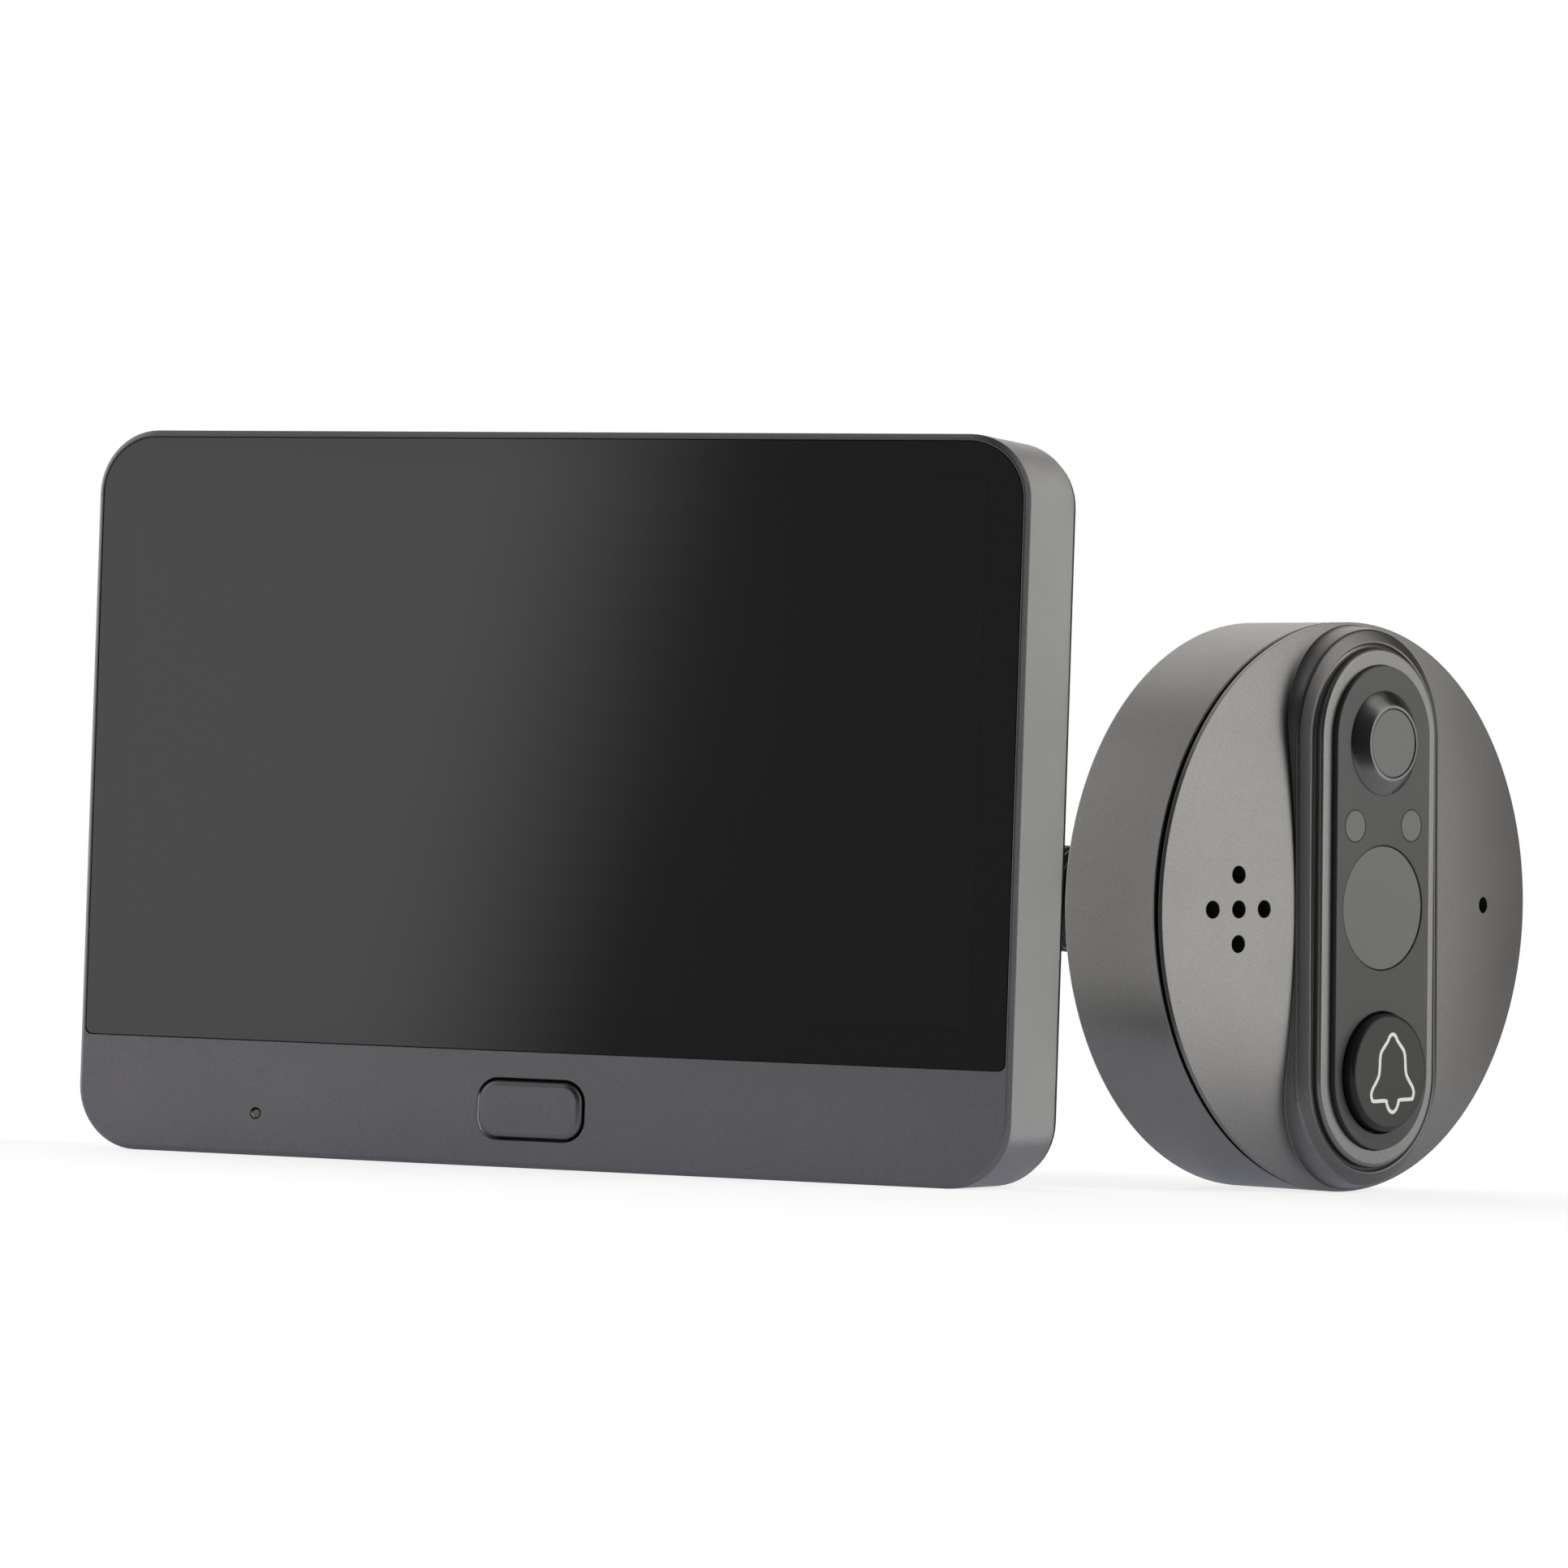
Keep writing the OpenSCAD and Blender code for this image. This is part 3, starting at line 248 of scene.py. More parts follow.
# moulded resin and the display cell: a cloudy colour under a clear coat
displayLook = {"colour": (0.02, 0.02, 0.025), "roughness": 0.2, "cloud": 0.2, "cloudScale": 900, "coat": 0.4}
pipeLook = dict(displayLook, colour=(0.5, 0.44, 0.24), roughness=0.25)
ledLook = dict(displayLook, colour=(0.8, 0.7, 0.35), roughness=0.3)
diodeLook = dict(displayLook, colour=(0.06, 0.04, 0.09), roughness=0.15)


def resin(name, look):
    material, tree, shader = startMaterial(name)
    cloud = grain(tree, objectPoint(tree), look["cloudScale"], detail=3.0)
    colour = blended(tree, cloud, opaque(look["colour"], 1 - look["cloud"]), opaque(look["colour"]))
    feed(tree, shader, {"Base Color": colour, "Roughness": look["roughness"], "Coat Weight": look["coat"]})
    return material


finishes = {
    "front_frame": sprayed("frameLacquer", frameLook),
    "view_button": sprayed("buttonLacquer", frameLook),
    "outdoor_housing": sprayed("housingLacquer", lacquerLook),
    "outdoor_face": sprayed("faceLacquer", lacquerLook),
    "screen_glass": coverGlass("coverGlass"),
    "lcd_panel": resin("displayCell", displayLook),
    "backlight": sprayed("lightGuide", whiteLook),
    "back_cover": sprayed("coverGrain", coverLook),
    "sensor_panel": sprayed("panelSatin", panelLook),
    "lens_hood": sprayed("hoodSatin", hoodLook),
    "lens_window": sprayed("lensCoating", discLook),
    "ir_windows": sprayed("infraredSmoke", discLook),
    "pir_lens": sprayed("motionLensFilm", discLook),
    "bell_button": sprayed("bellSatin", bellLook),
    "light_pipe": resin("lightPipeResin", pipeLook),
    "status_led": resin("ledResin", ledLook),
    "ir_leds": resin("diodeResin", diodeLook),
    "door_bracket": metal("bracketSteel", steelLook),
    "usb_socket": metal("portShell", platedLook),
    "wifi_module": metal("radioCan", platedLook),
    "pir_sensor": metal("motionCan", platedLook),
    "microphone": metal("microphoneCan", platedLook),
    "view_switch": metal("viewSwitchCan", platedLook),
    "bell_switch": metal("bellSwitchCan", platedLook),
    "key_board_screws": metal("keyScrewZinc", platedLook),
    "main_board_screws": metal("boardScrewZinc", platedLook),
    "outdoor_board_screws": metal("unitScrewZinc", platedLook),
    "cover_screws": metal("coverScrewBlack", blackenedLook),
    "housing_screws": metal("housingScrewBlack", blackenedLook),
    "threaded_barrel": metal("barrelBlack", blackenedLook),
    "clamp_nut": metal("nutBrass", brassLook),
    "clamp_washer": sprayed("washerRubber", rubberLook),
    "door_gasket": sprayed("gasketRubber", rubberLook),
    "microphone_boot": sprayed("bootRubber", rubberLook),
    "view_stem": sprayed("viewStemMould", mouldLook),
    "bell_stem": sprayed("bellStemMould", mouldLook),
    "camera_module": sprayed("cameraMould", mouldLook),
    "monitor_speaker": sprayed("monitorSpeakerMould", mouldLook),
    "outdoor_speaker": sprayed("outdoorSpeakerMould", mouldLook),
    "battery": sprayed("batteryFoil", foilLook),
    "cable_socket": sprayed("cableSocketIvory", ivoryLook),
    "main_board": sprayed("mainBoardMask", maskLook),
    "key_board": sprayed("keyBoardMask", maskLook),
    "outdoor_board": sprayed("outdoorBoardMask", maskLook)}
for nodeName, finish in finishes.items():
    dress(cadNodes[nodeName].data, finish)
print("finishes:", len(finishes))


# the outdoor unit's own axes: its direction from the bell button's travel, its zero from the sealing ring
joints = {joint["name"]: joint for joint in frame["record"]["behaviour"]["joints"]}
unitOut = -Vector(joints["bell_button_press"]["axis"]).normalized()


def nodePoints(nodeName):
    return [vertex.co.copy() for vertex in cadNodes[nodeName].data.vertices]


def boxMiddle(nodeName):
    low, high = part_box(nodeName)
    return (Vector(low) + Vector(high)) / 2


unitUp = boxMiddle("lens_window") - boxMiddle("bell_button")
unitUp = (unitUp - unitOut * unitUp.dot(unitOut)).normalized()
unitSide = unitUp.cross(unitOut)
unitZero = boxMiddle("door_gasket")
unitZero += unitOut * (min(point.dot(unitOut) for point in nodePoints("door_gasket")) - unitZero.dot(unitOut))
fromUnit = Matrix((unitSide, unitUp, unitOut)).transposed().to_4x4()
fromUnit.translation = unitZero
toUnit = fromUnit.inverted()


def unitPoints(nodeName):
    return [toUnit @ point for point in nodePoints(nodeName)]


# small helpers for meshes and pieces; lengths in metres, the angle in degrees
meshWork = {"mergeGap": 2e-6, "flatAngle": 0.4, "sameLevel": 1e-5}


def linked(name, data):
    obj = bpy.data.objects.new(name, data)
    bpy.context.scene.collection.objects.link(obj)
    return obj


def pieceObject(name, mesh, body, slotName, finish=None):
    piece = linked(name, mesh)
    if finish:
        dress(mesh, finish)
    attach(piece, body)
    return piece


def plainMesh(name, points, edges, faces):
    mesh = bpy.data.meshes.new(name)
    mesh.from_pydata(points, edges, faces)
    return mesh


def mergedCopy(nodeName):
    work = bmesh.new()
    work.from_mesh(cadNodes[nodeName].data)
    bmesh.ops.remove_doubles(work, verts=work.verts, dist=meshWork["mergeGap"])
    return work


# a merged copy whose flat faces are whole again, in the part's axes or turned into others
def flatMesh(nodeName, turn=None):
    work = mergedCopy(nodeName)
    flat = math.radians(meshWork["flatAngle"])
    bmesh.ops.dissolve_limit(work, angle_limit=flat, verts=work.verts, edges=work.edges)
    if turn is not None:
        work.transform(turn)
    mesh = bpy.data.meshes.new(nodeName + "Work")
    work.to_mesh(mesh)
    work.free()
    return mesh


def faceOutward(mesh):
    work = bmesh.new()
    work.from_mesh(mesh)
    bmesh.ops.recalc_face_normals(work, faces=work.faces)
    work.to_mesh(mesh)
    work.free()


def smoothByAngle(mesh, degrees):
    mesh.shade_smooth()
    mesh.set_sharp_from_angle(angle=math.radians(degrees))


def leadByFlatFaces(holder):
    leaning = holder.modifiers.new("flat faces lead", "WEIGHTED_NORMAL")
    leaning.keep_sharp = True


def settledMesh(holder, name):
    graph = bpy.context.evaluated_depsgraph_get()
    mesh = bpy.data.meshes.new_from_object(holder.evaluated_get(graph))
    mesh.name = name
    old = holder.data
    bpy.data.objects.remove(holder)
    bpy.data.meshes.remove(old)
    return mesh


# moulded and turned pieces whose edges are really broken: body, edge in mm, angle in degrees
softSegments = 3
softEdges = {
    "front_frame": {"body": "monitor", "edge": 0.16, "angle": 30},
    "back_cover": {"body": "monitor", "edge": 0.2, "angle": 30},
    "view_button": {"body": "view_button", "edge": 0.3, "angle": 30},
    "door_bracket": {"body": "door_set", "edge": 0.16, "angle": 30},
    "outdoor_housing": {"body": "door_set", "edge": 0.18, "angle": 30},
    "sensor_panel": {"body": "door_set", "edge": 0.08, "angle": 30},
    "lens_hood": {"body": "door_set", "edge": 0.1, "angle": 25},
    "lens_window": {"body": "door_set", "edge": 0.12, "angle": 30},
    "ir_windows": {"body": "door_set", "edge": 0.06, "angle": 30},
    "pir_lens": {"body": "door_set", "edge": 0.08, "angle": 30},
    "clamp_nut": {"body": "clamp_nut", "edge": 0.25, "angle": 30},
    "clamp_washer": {"body": "clamp_washer", "edge": 0.2, "angle": 30},
    "door_gasket": {"body": "door_set", "edge": 0.25, "angle": 30}}


def breakEdges(nodeName, look):
    mesh = flatMesh(nodeName)
    mesh.shade_smooth()
    holder = linked(nodeName + "Holder", mesh)
    rounding = holder.modifiers.new("broken edges", "BEVEL")
    rounding.width = look["edge"] * mm
    rounding.segments = softSegments
    rounding.limit_method = "ANGLE"
    rounding.angle_limit = math.radians(look["angle"])
    rounding.use_clamp_overlap = True
    rounding.miter_outer = "MITER_ARC"
    leadByFlatFaces(holder)
    rounded = settledMesh(holder, nodeName + "Soft")
    piece = pieceObject(nodeName + "Soft", rounded, look["body"], nodeName, finishes[nodeName])
    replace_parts(piece, nodeName)
    return piece


softPieces = {nodeName: breakEdges(nodeName, look) for nodeName, look in softEdges.items()}
print("broken edges:", len(softPieces))


# line sign on the bell button, half outline in mm from the top down
# its glow is painted light: an emission in the print's own colour that makes the sign shine, though it is no
# lamp
bellSign = {
    "half": [(0, 4.2), (0.5, 3.97), (0.85, 3.45), (1.4, 2.9), (1.95, 2.3), (2.15, 1.55), (2.2, 0.7),
             (2.35, -0.2), (2.85, -0.95), (3.4, -1.6), (3.65, -2.2), (3.5, -2.75), (3.2, -2.95),
             (1.2, -2.97), (1.0, -3.3), (0.7, -3.85), (0.35, -4.15), (0, -4.25)],
    "stroke": 0.4, "rise": 0.03, "sink": 0.05, "between": 4, "roughness": 0.5,
    "colour": (0.92, 0.905, 0.86), "glow": 0.35}


# a smooth closed curve through the outline's points
def signPath():
    right = bellSign["half"]
    outline = right + [(-x, y) for x, y in reversed(right[1:-1])]
    count = len(outline)
    path = []
    for index in range(count):
        before, start, stop, after = (Vector(outline[(index + step) % count]) for step in (-1, 0, 1, 2))
        bend = 2 * before - 5 * start + 4 * stop - after
        twist = 3 * start - before - 3 * stop + after
        for part in range(bellSign["between"]):
            t = part / bellSign["between"]
            path.append(0.5 * (2 * start + (stop - before) * t + bend * t ** 2 + twist * t ** 3))
    return path


def layBellSign():
    path = signPath()
    count = len(path)
    middle = toUnit @ boxMiddle("bell_button")
    top = max(point.z for point in unitPoints("bell_button"))
    low, high = top - bellSign["sink"] * mm, top + bellSign["rise"] * mm
    section = ((1, high), (-1, high), (-1, low), (1, low))
    sides = len(section)
    points, faces = [], []
    for index, spot in enumerate(path):
        along = (path[(index + 1) % count] - path[index - 1]).normalized()
        across = Vector((along.y, -along.x)) * bellSign["stroke"] / 2
        for side, level in section:
            flat = (spot + across * side) * mm
            points.append(fromUnit @ Vector((middle.x + flat.x, middle.y + flat.y, level)))
        here, there = sides * index, sides * ((index + 1) % count)
        for corner in range(sides):
            after = (corner + 1) % sides
            faces.append((here + corner, here + after, there + after, there + corner))
    mesh = plainMesh("bellSign", points, [], faces)
    faceOutward(mesh)
    paint = sprayed("signPaintPaintedGlow", dict(ivoryLook, colour=bellSign["colour"], roughness=bellSign["roughness"]))
    # painted glow: the sign paint emits light of its own colour at the glow strength
    feed(paint.node_tree, paint.node_tree.nodes["Principled BSDF"], {
        "Emission Color": opaque(bellSign["colour"]), "Emission Strength": bellSign["glow"]})
    pieceObject("bellSign", mesh, "bell_button", "bell_button", paint)


layBellSign()
print("bell sign laid")


# small helpers for node trees that make geometry
def geometryTree(name, sockets):
    tree = bpy.data.node_groups.new(name, "GeometryNodeTree")
    tree.is_modifier = True
    tree.interface.new_socket("Geometry", in_out="INPUT", socket_type="NodeSocketGeometry")
    for socketName, kind in sockets.items():
        tree.interface.new_socket(socketName, in_out="INPUT", socket_type="NodeSocket" + kind)
    tree.interface.new_socket("Finish", in_out="INPUT", socket_type="NodeSocketMaterial")
    tree.interface.new_socket("Geometry", in_out="OUTPUT", socket_type="NodeSocketGeometry")
    return tree, tree.nodes.new("NodeGroupInput").outputs


def dressResult(tree, given, geometry):
    real = addNode(tree, "GeometryNodeRealizeInstances", {"Geometry": geometry})
    dressed = addNode(tree, "GeometryNodeSetMaterial", {
        "Geometry": real.outputs[0], "Material": given["Finish"]})
    addNode(tree, "NodeGroupOutput", {"Geometry": dressed.outputs[0]})


def grow(holder, tree, values):
    modifier = holder.modifiers.new(tree.name, "NODES")
    modifier.node_group = tree
    for item in tree.interface.items_tree:
        if item.in_out == "INPUT" and item.name in values:
            modifier[item.identifier] = values[item.name]
    return settledMesh(holder, tree.name)


def moved(tree, geometry, z):
    place = joinPoint(tree, Z=z)
    return addNode(tree, "GeometryNodeTransform", {"Geometry": geometry, "Translation": place}).outputs[0]


def ownPoint(tree):
    return splitPoint(tree, addNode(tree, "GeometryNodeInputPosition").outputs[0])


def levelled(tree, curve):
    return addNode(tree, "GeometryNodeSetCurveNormal", {"Curve": curve}, mode="Z_UP").outputs[0]


# pan-head screw with a cross recess, set on each point and turned to the screw's axis
# the crown is in shares of the head's height from its middle, the recess in shares of its radius and height
screwLook = {
    "headSides": 40, "headRings": 8, "headFill": 2, "shankSides": 28, "crown": (-0.1, 0.5), "crownDraw": 0.2,
    "recessWidth": 0.3, "recessReach": 0.6, "recessDepth": 0.55, "smooth": 32, "headShare": 0.9}


def screwHead(tree, given):
    head = addNode(tree, "GeometryNodeMeshCylinder", {
        "Vertices": screwLook["headSides"], "Side Segments": screwLook["headRings"],
        "Fill Segments": screwLook["headFill"],
        "Radius": given["Head Radius"], "Depth": given["Head Height"]})
    axes = ownPoint(tree)
    upward = mathNode(tree, "DIVIDE", axes["Z"], given["Head Height"])
    crown = mathNode(tree, "POWER", ramp(tree, upward, 0.0, 1.0, *screwLook["crown"]), 2.0)
    shrink = mathNode(tree, "SUBTRACT", 1.0, product(tree, crown, screwLook["crownDraw"]))
    narrow = joinPoint(
        tree, X=product(tree, axes["X"], shrink), Y=product(tree, axes["Y"], shrink), Z=axes["Z"])
    crowned = addNode(tree, "GeometryNodeSetPosition", {"Geometry": head.outputs["Mesh"], "Position": narrow})
    return moved(tree, crowned.outputs[0], product(tree, given["Head Height"], -0.5))


def screwShank(tree, given):
    shank = addNode(tree, "GeometryNodeMeshCylinder", {
        "Vertices": screwLook["shankSides"], "Radius": given["Shank Radius"], "Depth": given["Shank Length"]})
    halfShank = product(tree, given["Shank Length"], -0.5)
    return moved(tree, shank.outputs["Mesh"], mathNode(
        tree, "SUBTRACT", halfShank, product(tree, given["Head Height"], 0.5)))


def screwTree():
    tree, given = geometryTree("crossScrew", {
        "Head Radius": "Float", "Head Height": "Float", "Shank Radius": "Float", "Shank Length": "Float",
        "Recess Width": "Float", "Recess Reach": "Float", "Recess Depth": "Float", "Axis": "Vector"})
    whole = addNode(tree, "GeometryNodeMeshBoolean", operation="UNION")
    for solid in (screwHead(tree, given), screwShank(tree, given)):
        feed(tree, whole, {"Mesh 2": solid})
    cut = addNode(tree, "GeometryNodeMeshBoolean", {"Mesh 1": whole.outputs["Mesh"]}, operation="DIFFERENCE")
    reach, depth = product(tree, given["Recess Reach"], 2.0), product(tree, given["Recess Depth"], 2.0)
    for long, wide in (("X", "Y"), ("Y", "X")):
        size = joinPoint(tree, **{long: reach, wide: given["Recess Width"], "Z": depth})
        feed(tree, cut, {"Mesh 2": addNode(tree, "GeometryNodeMeshCube", {"Size": size}).outputs["Mesh"]})
    aim = addNode(tree, "FunctionNodeAlignRotationToVector", {"Vector": given["Axis"]}, axis="Z")
    points = addNode(tree, "GeometryNodeMeshToPoints", {"Mesh": given["Geometry"]})
    spread = addNode(tree, "GeometryNodeInstanceOnPoints", {
        "Points": points.outputs[0], "Instance": cut.outputs["Mesh"], "Rotation": aim.outputs[0]})
    dressResult(tree, given, spread.outputs[0])
    return tree


screwRows = {
    "cover_screws": {"body": "monitor", "axis": (0, 1, 0)},
    "key_board_screws": {"body": "monitor", "axis": (0, 1, 0)},
    "main_board_screws": {"body": "monitor", "axis": (0, -1, 0)},
    "housing_screws": {"body": "door_set", "axis": tuple(-unitOut)},
    "outdoor_board_screws": {"body": "door_set", "axis": tuple(-unitOut)}}


def islands(work):
    seen = set()
    for start in work.verts:
        if start in seen:
            continue
        seen.add(start)
        reached = [start]
        for vertex in reached:  # grows while it is walked
            fresh = [edge.other_vert(vertex) for edge in vertex.link_edges]
            fresh = [other for other in fresh if other not in seen]
            seen.update(fresh)
            reached += fresh
        yield [vertex.co.copy() for vertex in reached]


# each CAD screw gives its place and its measures; the head is at the end with the wider points
def screwMeasures(nodeName, axis):
    work = mergedCopy(nodeName)
    tops, sizes = [], []
    for cloud in islands(work):
        middle = sum(cloud, Vector()) / len(cloud)
        heights = [(point - middle).dot(axis) for point in cloud]
        reach = [((point - middle) - axis * height).length for point, height in zip(cloud, heights)]
        low, high, widest = min(heights), max(heights), max(reach)
        wide, end = screwLook["headShare"] * widest, low + meshWork["sameLevel"]
        under = min(height for height, radius in zip(heights, reach) if radius > wide)
        slim = max(radius for height, radius in zip(heights, reach) if height < end)
        tops.append(middle + axis * high)
        sizes.append((widest, high - under, slim, under - low))
    work.free()
    return tops, sizes[0]


crossScrew = screwTree()
for nodeName, row in screwRows.items():
    axis = Vector(row["axis"])
    tops, (headRadius, headHeight, shankRadius, shankLength) = screwMeasures(nodeName, axis)
    grown = grow(linked(nodeName + "Holder", plainMesh(nodeName + "Spots", tops, [], [])), crossScrew, {
        "Head Radius": headRadius, "Head Height": headHeight,
        "Shank Radius": shankRadius, "Shank Length": shankLength,
        "Recess Width": headRadius * screwLook["recessWidth"],
        "Recess Reach": headRadius * screwLook["recessReach"],
        "Recess Depth": headHeight * screwLook["recessDepth"],
        "Axis": axis, "Finish": finishes[nodeName]})
    smoothByAngle(grown, screwLook["smooth"])
    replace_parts(pieceObject(nodeName + "Cross", grown, row["body"], nodeName), nodeName)
    print(nodeName, len(tops), "screws, head", round(headRadius / mm, 2), "x", round(headHeight / mm, 2))


# V thread cut into the barrel by a wire wound along it; lengths in mm, the flank as a share of the pitch
threadLook = {
    "pitch": 1.5, "depth": 0.5, "flank": 0.41, "start": -44.8, "stop": -4.3, "steps": 40, "smooth": 24}


def threadTree():
    tree, given = geometryTree("cutThread", {
        "Crest Radius": "Float", "Depth": "Float", "Flank": "Float", "Turns": "Float", "Start": "Float",
        "Length": "Float", "Steps": "Int"})
    wire = addNode(tree, "GeometryNodeCurveSpiral", {
        "Resolution": given["Steps"], "Rotations": given["Turns"], "Start Radius": given["Crest Radius"],
        "End Radius": given["Crest Radius"], "Height": given["Length"]})
    path = levelled(tree, moved(tree, wire.outputs["Curve"], given["Start"]))
    tool = addNode(tree, "GeometryNodeCurvePrimitiveQuadrilateral", {
        "Width": product(tree, given["Depth"], 2.0), "Bottom Height": given["Flank"],
        "Top Height": given["Flank"]}, mode="KITE")
    cutter = addNode(tree, "GeometryNodeCurveToMesh", {
        "Curve": path, "Profile Curve": tool.outputs["Curve"], "Fill Caps": True})
    cut = addNode(
        tree, "GeometryNodeMeshBoolean", {"Mesh 1": given["Geometry"], "Mesh 2": cutter.outputs["Mesh"]},
        operation="DIFFERENCE", solver="MANIFOLD")
    dressResult(tree, given, cut.outputs["Mesh"])
    return tree


def cutBarrelThread():
    mesh = flatMesh("threaded_barrel", toUnit)
    bottom = min(vertex.co.z for vertex in mesh.vertices)
    tip = [vertex.co.xy for vertex in mesh.vertices if vertex.co.z < bottom + meshWork["sameLevel"]]
    length = threadLook["stop"] - threadLook["start"]
    grown = grow(linked("barrelHolder", mesh), threadTree(), {
        "Crest Radius": max(math.hypot(*spot) for spot in tip), "Depth": threadLook["depth"] * mm,
        "Flank": threadLook["pitch"] * threadLook["flank"] * mm, "Turns": length / threadLook["pitch"],
        "Start": threadLook["start"] * mm, "Length": length * mm, "Steps": threadLook["steps"],
        "Finish": finishes["threaded_barrel"]})
    grown.transform(fromUnit)
    smoothByAngle(grown, threadLook["smooth"])
    holder = linked("barrelHolder", grown)
    leadByFlatFaces(holder)
    grown = settledMesh(holder, "barrelThread")
    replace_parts(pieceObject("barrelThread", grown, "door_set", "threaded_barrel"), "threaded_barrel")
    print("thread cut:", len(grown.polygons), "faces")


cutBarrelThread()


# rounded bead on the step of the ridge, wound once round the sensor panel
# its section in mm: out from the panel's edge, up from the ridge's rim; its arcs in degrees from upright
# its paintedShade is painted shade: the share by which the bead's lacquer is darkened, standing for the shade
# in the groove round the ridge
beadLook = {
    "groove": (2.15, -1.3), "crest": (2.6, -0.932), "crestRadius": 0.2, "foot": (3.5, -1.75),
    "footRadius": 0.52, "root": [(3.5, -2.1), (2.5, -1.9)], "inner": -50, "lean": 27, "outer": 90,
    "arcSteps": 8, "pathSteps": 160, "smooth": 30, "paintedShade": 0.74}


def beadTree():
    tree, given = geometryTree("ridgeBead", {
        "Bend Radius": "Float", "Straight Half": "Float", "Level": "Float", "Path Steps": "Int"})
    ring = addNode(tree, "GeometryNodeCurvePrimitiveCircle", {
        "Resolution": given["Path Steps"], "Radius": given["Bend Radius"]})
    half = mathNode(tree, "SIGN", ownPoint(tree)["Y"])
    apart = joinPoint(tree, Y=product(tree, half, given["Straight Half"]))
    pulled = addNode(tree, "GeometryNodeSetPosition", {"Geometry": ring.outputs["Curve"], "Offset": apart})
    section = addNode(tree, "GeometryNodeMeshToCurve", {"Mesh": given["Geometry"]})
    swept = addNode(tree, "GeometryNodeCurveToMesh", {
        "Curve": levelled(tree, pulled.outputs[0]), "Profile Curve": section.outputs[0]})
    dressResult(tree, given, moved(tree, swept.outputs[0], given["Level"]))
    return tree


def beadArc(centre, radius, start, stop):
    steps = beadLook["arcSteps"]
    turns = [math.radians(start + (stop - start) * index / steps) for index in range(steps + 1)]
    return [(centre[0] + radius * math.sin(turn), centre[1] + radius * math.cos(turn)) for turn in turns]


def beadSection():
    crest = beadArc(beadLook["crest"], beadLook["crestRadius"], beadLook["inner"], beadLook["lean"])
    foot = beadArc(beadLook["foot"], beadLook["footRadius"], beadLook["lean"], beadLook["outer"])
    outline = [beadLook["groove"], *crest, *foot, *beadLook["root"]]
    count = len(outline)
    edges = [(index, (index + 1) % count) for index in range(count)]
    return plainMesh("beadSection", [(out * mm, -up * mm, 0) for out, up in outline], edges, [])


def windRidgeBead():
    panel = unitPoints("sensor_panel")
    halfWide, halfTall = max(point.x for point in panel), max(point.y for point in panel)
    rim = max(point.z for point in unitPoints("outdoor_face"))
    # painted shade: the bead gets the face's lacquer scaled darker, so the groove round the ridge shows a
    # dark band
    paintedShadeLook = dict(lacquerLook, colour=scaled(lacquerLook["colour"], beadLook["paintedShade"]))
    grown = grow(linked("beadHolder", beadSection()), beadTree(), {
        "Bend Radius": halfWide, "Straight Half": halfTall - halfWide, "Level": rim,
        "Path Steps": beadLook["pathSteps"], "Finish": sprayed("beadLacquerPaintedShade", paintedShadeLook)})
    grown.transform(fromUnit)
    faceOutward(grown)
    smoothByAngle(grown, beadLook["smooth"])
    pieceObject("ridgeBead", grown, "door_set", "outdoor_face")
    print("ridge bead:", len(grown.polygons), "faces")


windRidgeBead()


# camera at the photograph's place; the image is square
cameraSpot = {
    "place": (0.317345, -0.70569, -0.011601), "yaw": 22.72, "pitch": -1.068, "roll": 1.889,
    "lens": 162.38, "sensor": 36.0, "near": 0.01}


def placeCamera():
    yaw, pitch, roll = (math.radians(cameraSpot[turn]) for turn in ("yaw", "pitch", "roll"))
    ahead = Vector((-math.sin(yaw) * math.cos(pitch), math.cos(yaw) * math.cos(pitch), -math.sin(pitch)))
    right = Vector((math.cos(yaw), math.sin(yaw), 0))
    up = right.cross(ahead)
    sideways = right * math.cos(roll) + up * math.sin(roll)
    upward = up * math.cos(roll) - right * math.sin(roll)
    data = bpy.data.cameras.new("photoCamera")
    data.lens = cameraSpot["lens"]
    data.sensor_width = cameraSpot["sensor"]
    data.sensor_fit = "HORIZONTAL"
    data.clip_start = cameraSpot["near"]
    camera = linked("photoCamera", data)
    turn = Matrix((sideways, upward, -ahead)).transposed().to_4x4()
    camera.matrix_world = Matrix.Translation(cameraSpot["place"]) @ turn
    bpy.context.scene.camera = camera


placeCamera()


# studio: pale floor, white surroundings for the camera, soft light that changes with direction
studio = {
    "floorColour": 0.62, "floorLift": 0.76, "floorGlossyLift": 0.31, "floorGlossyTint": (0.93, 0.965, 1.1),
    "floorX": (-0.22, 0.13), "floorY": (-0.2, 0.25),
    # level of the light round the object: degrees from +X towards +Y, brightness, tint
    "round": [
        (-180, 0.68, "plain"), (-150, 0.66, "plain"), (-134, 0.6, "plain"), (-121, 0.32, "cool"),
        (-112, 0.17, "cool"), (-106, 0.13, "cool"), (-101, 0.03, "cool"), (-85, 0.02, "cool"),
        (-60, 0.03, "cool"), (-40, 0.07, "cool"), (-20, 0.12, "cool"), (-8, 0.82, "plain"),
        (3, 1.64, "warm"), (18, 1.5, "warm"), (32, 1.16, "warm"), (42, 0.66, "warm"),
        (49, 0.16, "plain"), (56, 0.02, "plain"), (74, 0.04, "plain"), (88, 0.15, "warm"),
        (104, 0.9, "warm"), (118, 1.1, "warm"), (145, 1.2, "warm"), (166, 0.66, "plain"),
        (180, 0.68, "plain")],
    "above": 0.1, "aboveFrom": 0.7, "behindFrom": 0.97,
    # pale panel that the glass mirrors, with a slanting soft edge on its right; in degrees
    "panelLeft": 234.0, "panelRight": 245.15, "panelTop": 4.6, "panelBottom": -2.2, "panelSoft": 2.4,
    "panelLean": 0.22, "panelLevel": 1.48}
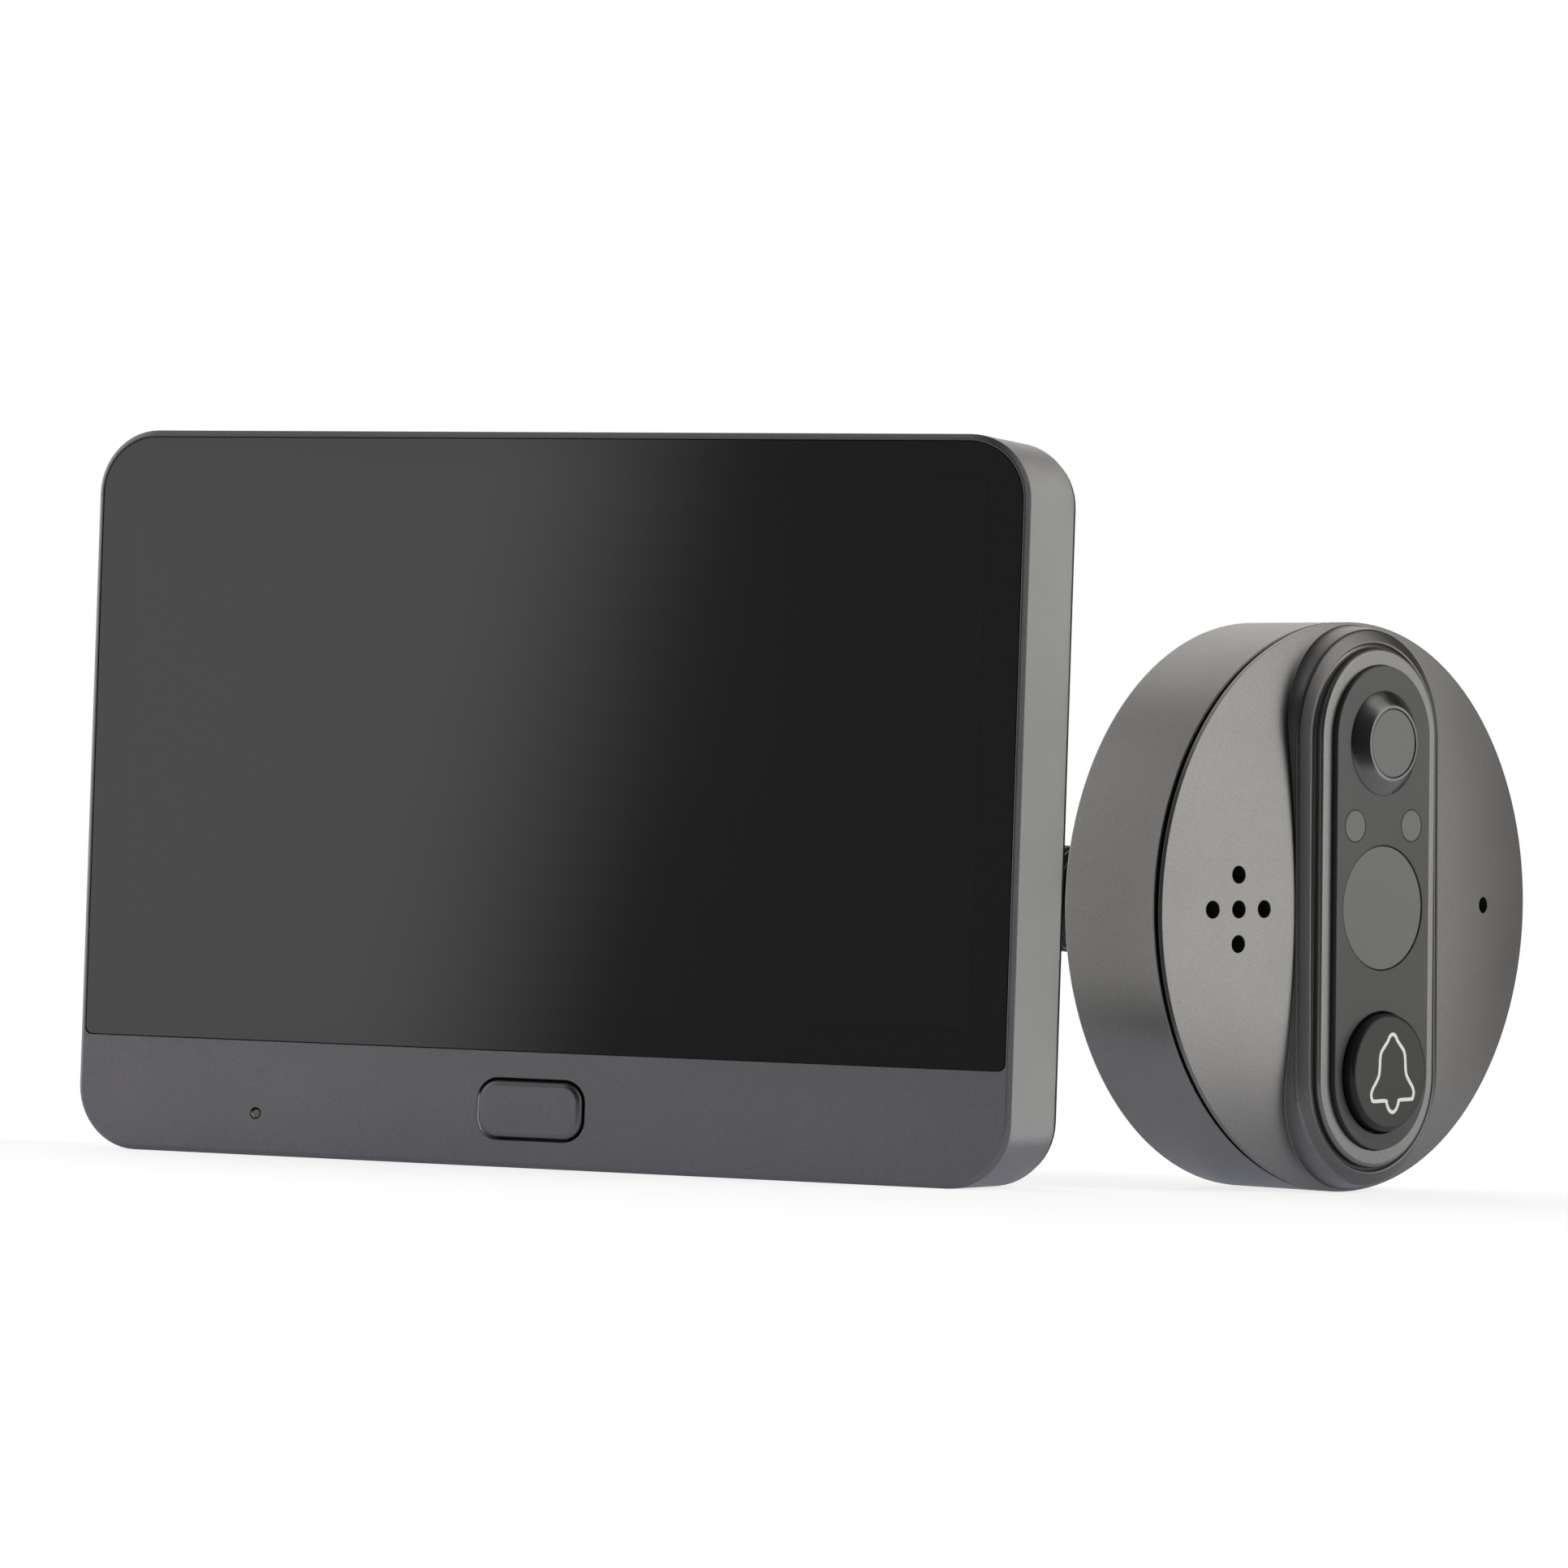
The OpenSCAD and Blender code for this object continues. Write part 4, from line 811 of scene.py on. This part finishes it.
tints = {"plain": (1.0, 1.0, 0.995), "warm": (1.01, 1.0, 0.975), "cool": (0.97, 0.985, 1.09)}


def seenPlainly(tree, rays):
    return mathNode(tree, "MAXIMUM", rays["Is Camera Ray"], rays["Is Transmission Ray"])


def layFloor():
    low = cadBounds[0][2]
    (left, right), (front, back) = studio["floorX"], studio["floorY"]
    corners = [(left, front, low), (right, front, low), (right, back, low), (left, back, low)]
    floor = linked("paleFloor", plainMesh("paleFloor", corners, [], [(0, 1, 2, 3)]))
    material = bpy.data.materials.new("paleFloor")
    material.use_nodes = True
    tree = material.node_tree
    tree.nodes.clear()
    matt = addNode(tree, "ShaderNodeBsdfDiffuse", {"Color": grey(studio["floorColour"])})
    rays = addNode(tree, "ShaderNodeLightPath").outputs
    forCamera = product(tree, seenPlainly(tree, rays), studio["floorLift"])
    forGloss = product(tree, rays["Is Glossy Ray"], studio["floorGlossyLift"])
    paint = blended(tree, rays["Is Glossy Ray"], grey(1), opaque(studio["floorGlossyTint"]))
    lift = mathNode(tree, "ADD", forCamera, forGloss)
    glow = addNode(tree, "ShaderNodeEmission", {"Color": paint, "Strength": lift})
    both = addNode(tree, "ShaderNodeAddShader", {0: matt.outputs[0], 1: glow.outputs[0]})
    addNode(tree, "ShaderNodeOutputMaterial", {"Surface": both.outputs[0]})
    floor.data.materials.append(material)


def lightRing(tree, turn):
    share = mathNode(tree, "ADD", mathNode(tree, "DIVIDE", turn, 2 * math.pi), 0.5)
    ring = addNode(tree, "ShaderNodeValToRGB", {"Fac": share})
    ring.color_ramp.interpolation = "EASE"
    stops = ring.color_ramp.elements
    while len(stops) < len(studio["round"]):
        stops.new(0.5)
    for stop, (degrees, level, tintName) in zip(stops, studio["round"]):
        stop.position = degrees / 360 + 0.5
        stop.color = opaque(tints[tintName], level)
    return ring.outputs["Color"]


def onMirroredPanel(tree, turn, upward):
    inDegrees = 180 / math.pi
    degrees = mathNode(tree, "MODULO", mathNode(tree, "ADD", product(tree, turn, inDegrees), 360), 360)
    height = product(tree, mathNode(tree, "ARCSINE", upward), inDegrees)
    slanted = mathNode(tree, "SUBTRACT", degrees, product(tree, height, studio["panelLean"]))
    soft = studio["panelSoft"] / 2

    def edge(value, place, before, after):
        return ramp(tree, value, before, after, studio[place] - soft, studio[place] + soft, "SMOOTHSTEP")

    across = product(tree, edge(slanted, "panelRight", 1.0, 0.0), edge(slanted, "panelLeft", 0.0, 1.0))
    upright = product(tree, edge(height, "panelTop", 1.0, 0.0), edge(height, "panelBottom", 0.0, 1.0))
    return product(tree, across, upright)


def hangWorld():
    world = bpy.data.worlds.new("paleStudio")
    bpy.context.scene.world = world
    world.use_nodes = True
    tree = world.node_tree
    tree.nodes.clear()
    axes = splitPoint(tree, addNode(tree, "ShaderNodeTexCoord").outputs["Generated"])
    turn = mathNode(tree, "ARCTAN2", axes["Y"], axes["X"])
    high = ramp(tree, axes["Z"], 0.0, 1.0, studio["aboveFrom"], 1.0)
    dome = blended(tree, high, lightRing(tree, turn), grey(studio["above"]))
    withPanel = blended(tree, onMirroredPanel(tree, turn, axes["Z"]), dome, grey(studio["panelLevel"]))
    # white for the camera, and behind the object for what mirrors it
    rays = addNode(tree, "ShaderNodeLightPath").outputs
    behind = product(tree, rays["Is Glossy Ray"], ramp(tree, axes["Y"], 0.0, 1.0, studio["behindFrom"], 1.0))
    seen = mathNode(tree, "MAXIMUM", seenPlainly(tree, rays), behind)
    glow = addNode(tree, "ShaderNodeBackground", {
        "Color": blended(tree, seen, withPanel, grey(1)), "Strength": 1.0})
    addNode(tree, "ShaderNodeOutputWorld", {"Surface": glow.outputs[0]})


# soft boxes for the two side walls that face each other; each lights its own piece only
sideBoxes = {
    "frameWallBox": {
        "place": (0.345, 0.735, 0.35), "aim": (0.055, -0.008, 0.0), "width": 0.5, "height": 1.3,
        "power": 2.06, "colour": (1.0, 1.012, 0.945),
        "lights": ["front_frame"], "shades": ["front_frame"]},
    "housingWallBox": {
        "place": (-0.557, -0.332, 0.08), "aim": (0.055, 0.007, -0.009), "width": 0.5, "height": 1.2,
        "power": 1.3, "colour": (1.0, 0.99, 0.965),
        "lights": ["outdoor_housing"], "shades": ["outdoor_housing", "outdoor_face"]}}


def pieceGroup(name, nodeNames):
    group = bpy.data.collections.new(name)
    for nodeName in nodeNames:
        group.objects.link(softPieces.get(nodeName, cadNodes[nodeName]))
    return group


def hangSideBox(name, box):
    data = bpy.data.lights.new(name, "AREA")
    data.shape = "RECTANGLE"
    data.size, data.size_y = box["width"], box["height"]
    data.energy = box["power"]
    data.color = box["colour"]
    data.cycles.use_multiple_importance_sampling = False
    lamp = linked(name, data)
    ahead = (Vector(box["aim"]) - Vector(box["place"])).normalized()
    turn = ahead.to_track_quat("-Z", "Y").to_matrix().to_4x4()
    lamp.matrix_world = Matrix.Translation(box["place"]) @ turn
    lamp.visible_camera = False
    lamp.light_linking.receiver_collection = pieceGroup(name + "Lights", box["lights"])
    lamp.light_linking.blocker_collection = pieceGroup(name + "Shades", box["shades"])


layFloor()
hangWorld()
for boxName, box in sideBoxes.items():
    hangSideBox(boxName, box)
bpy.context.scene.view_settings.view_transform = "Standard"
print("studio ready")
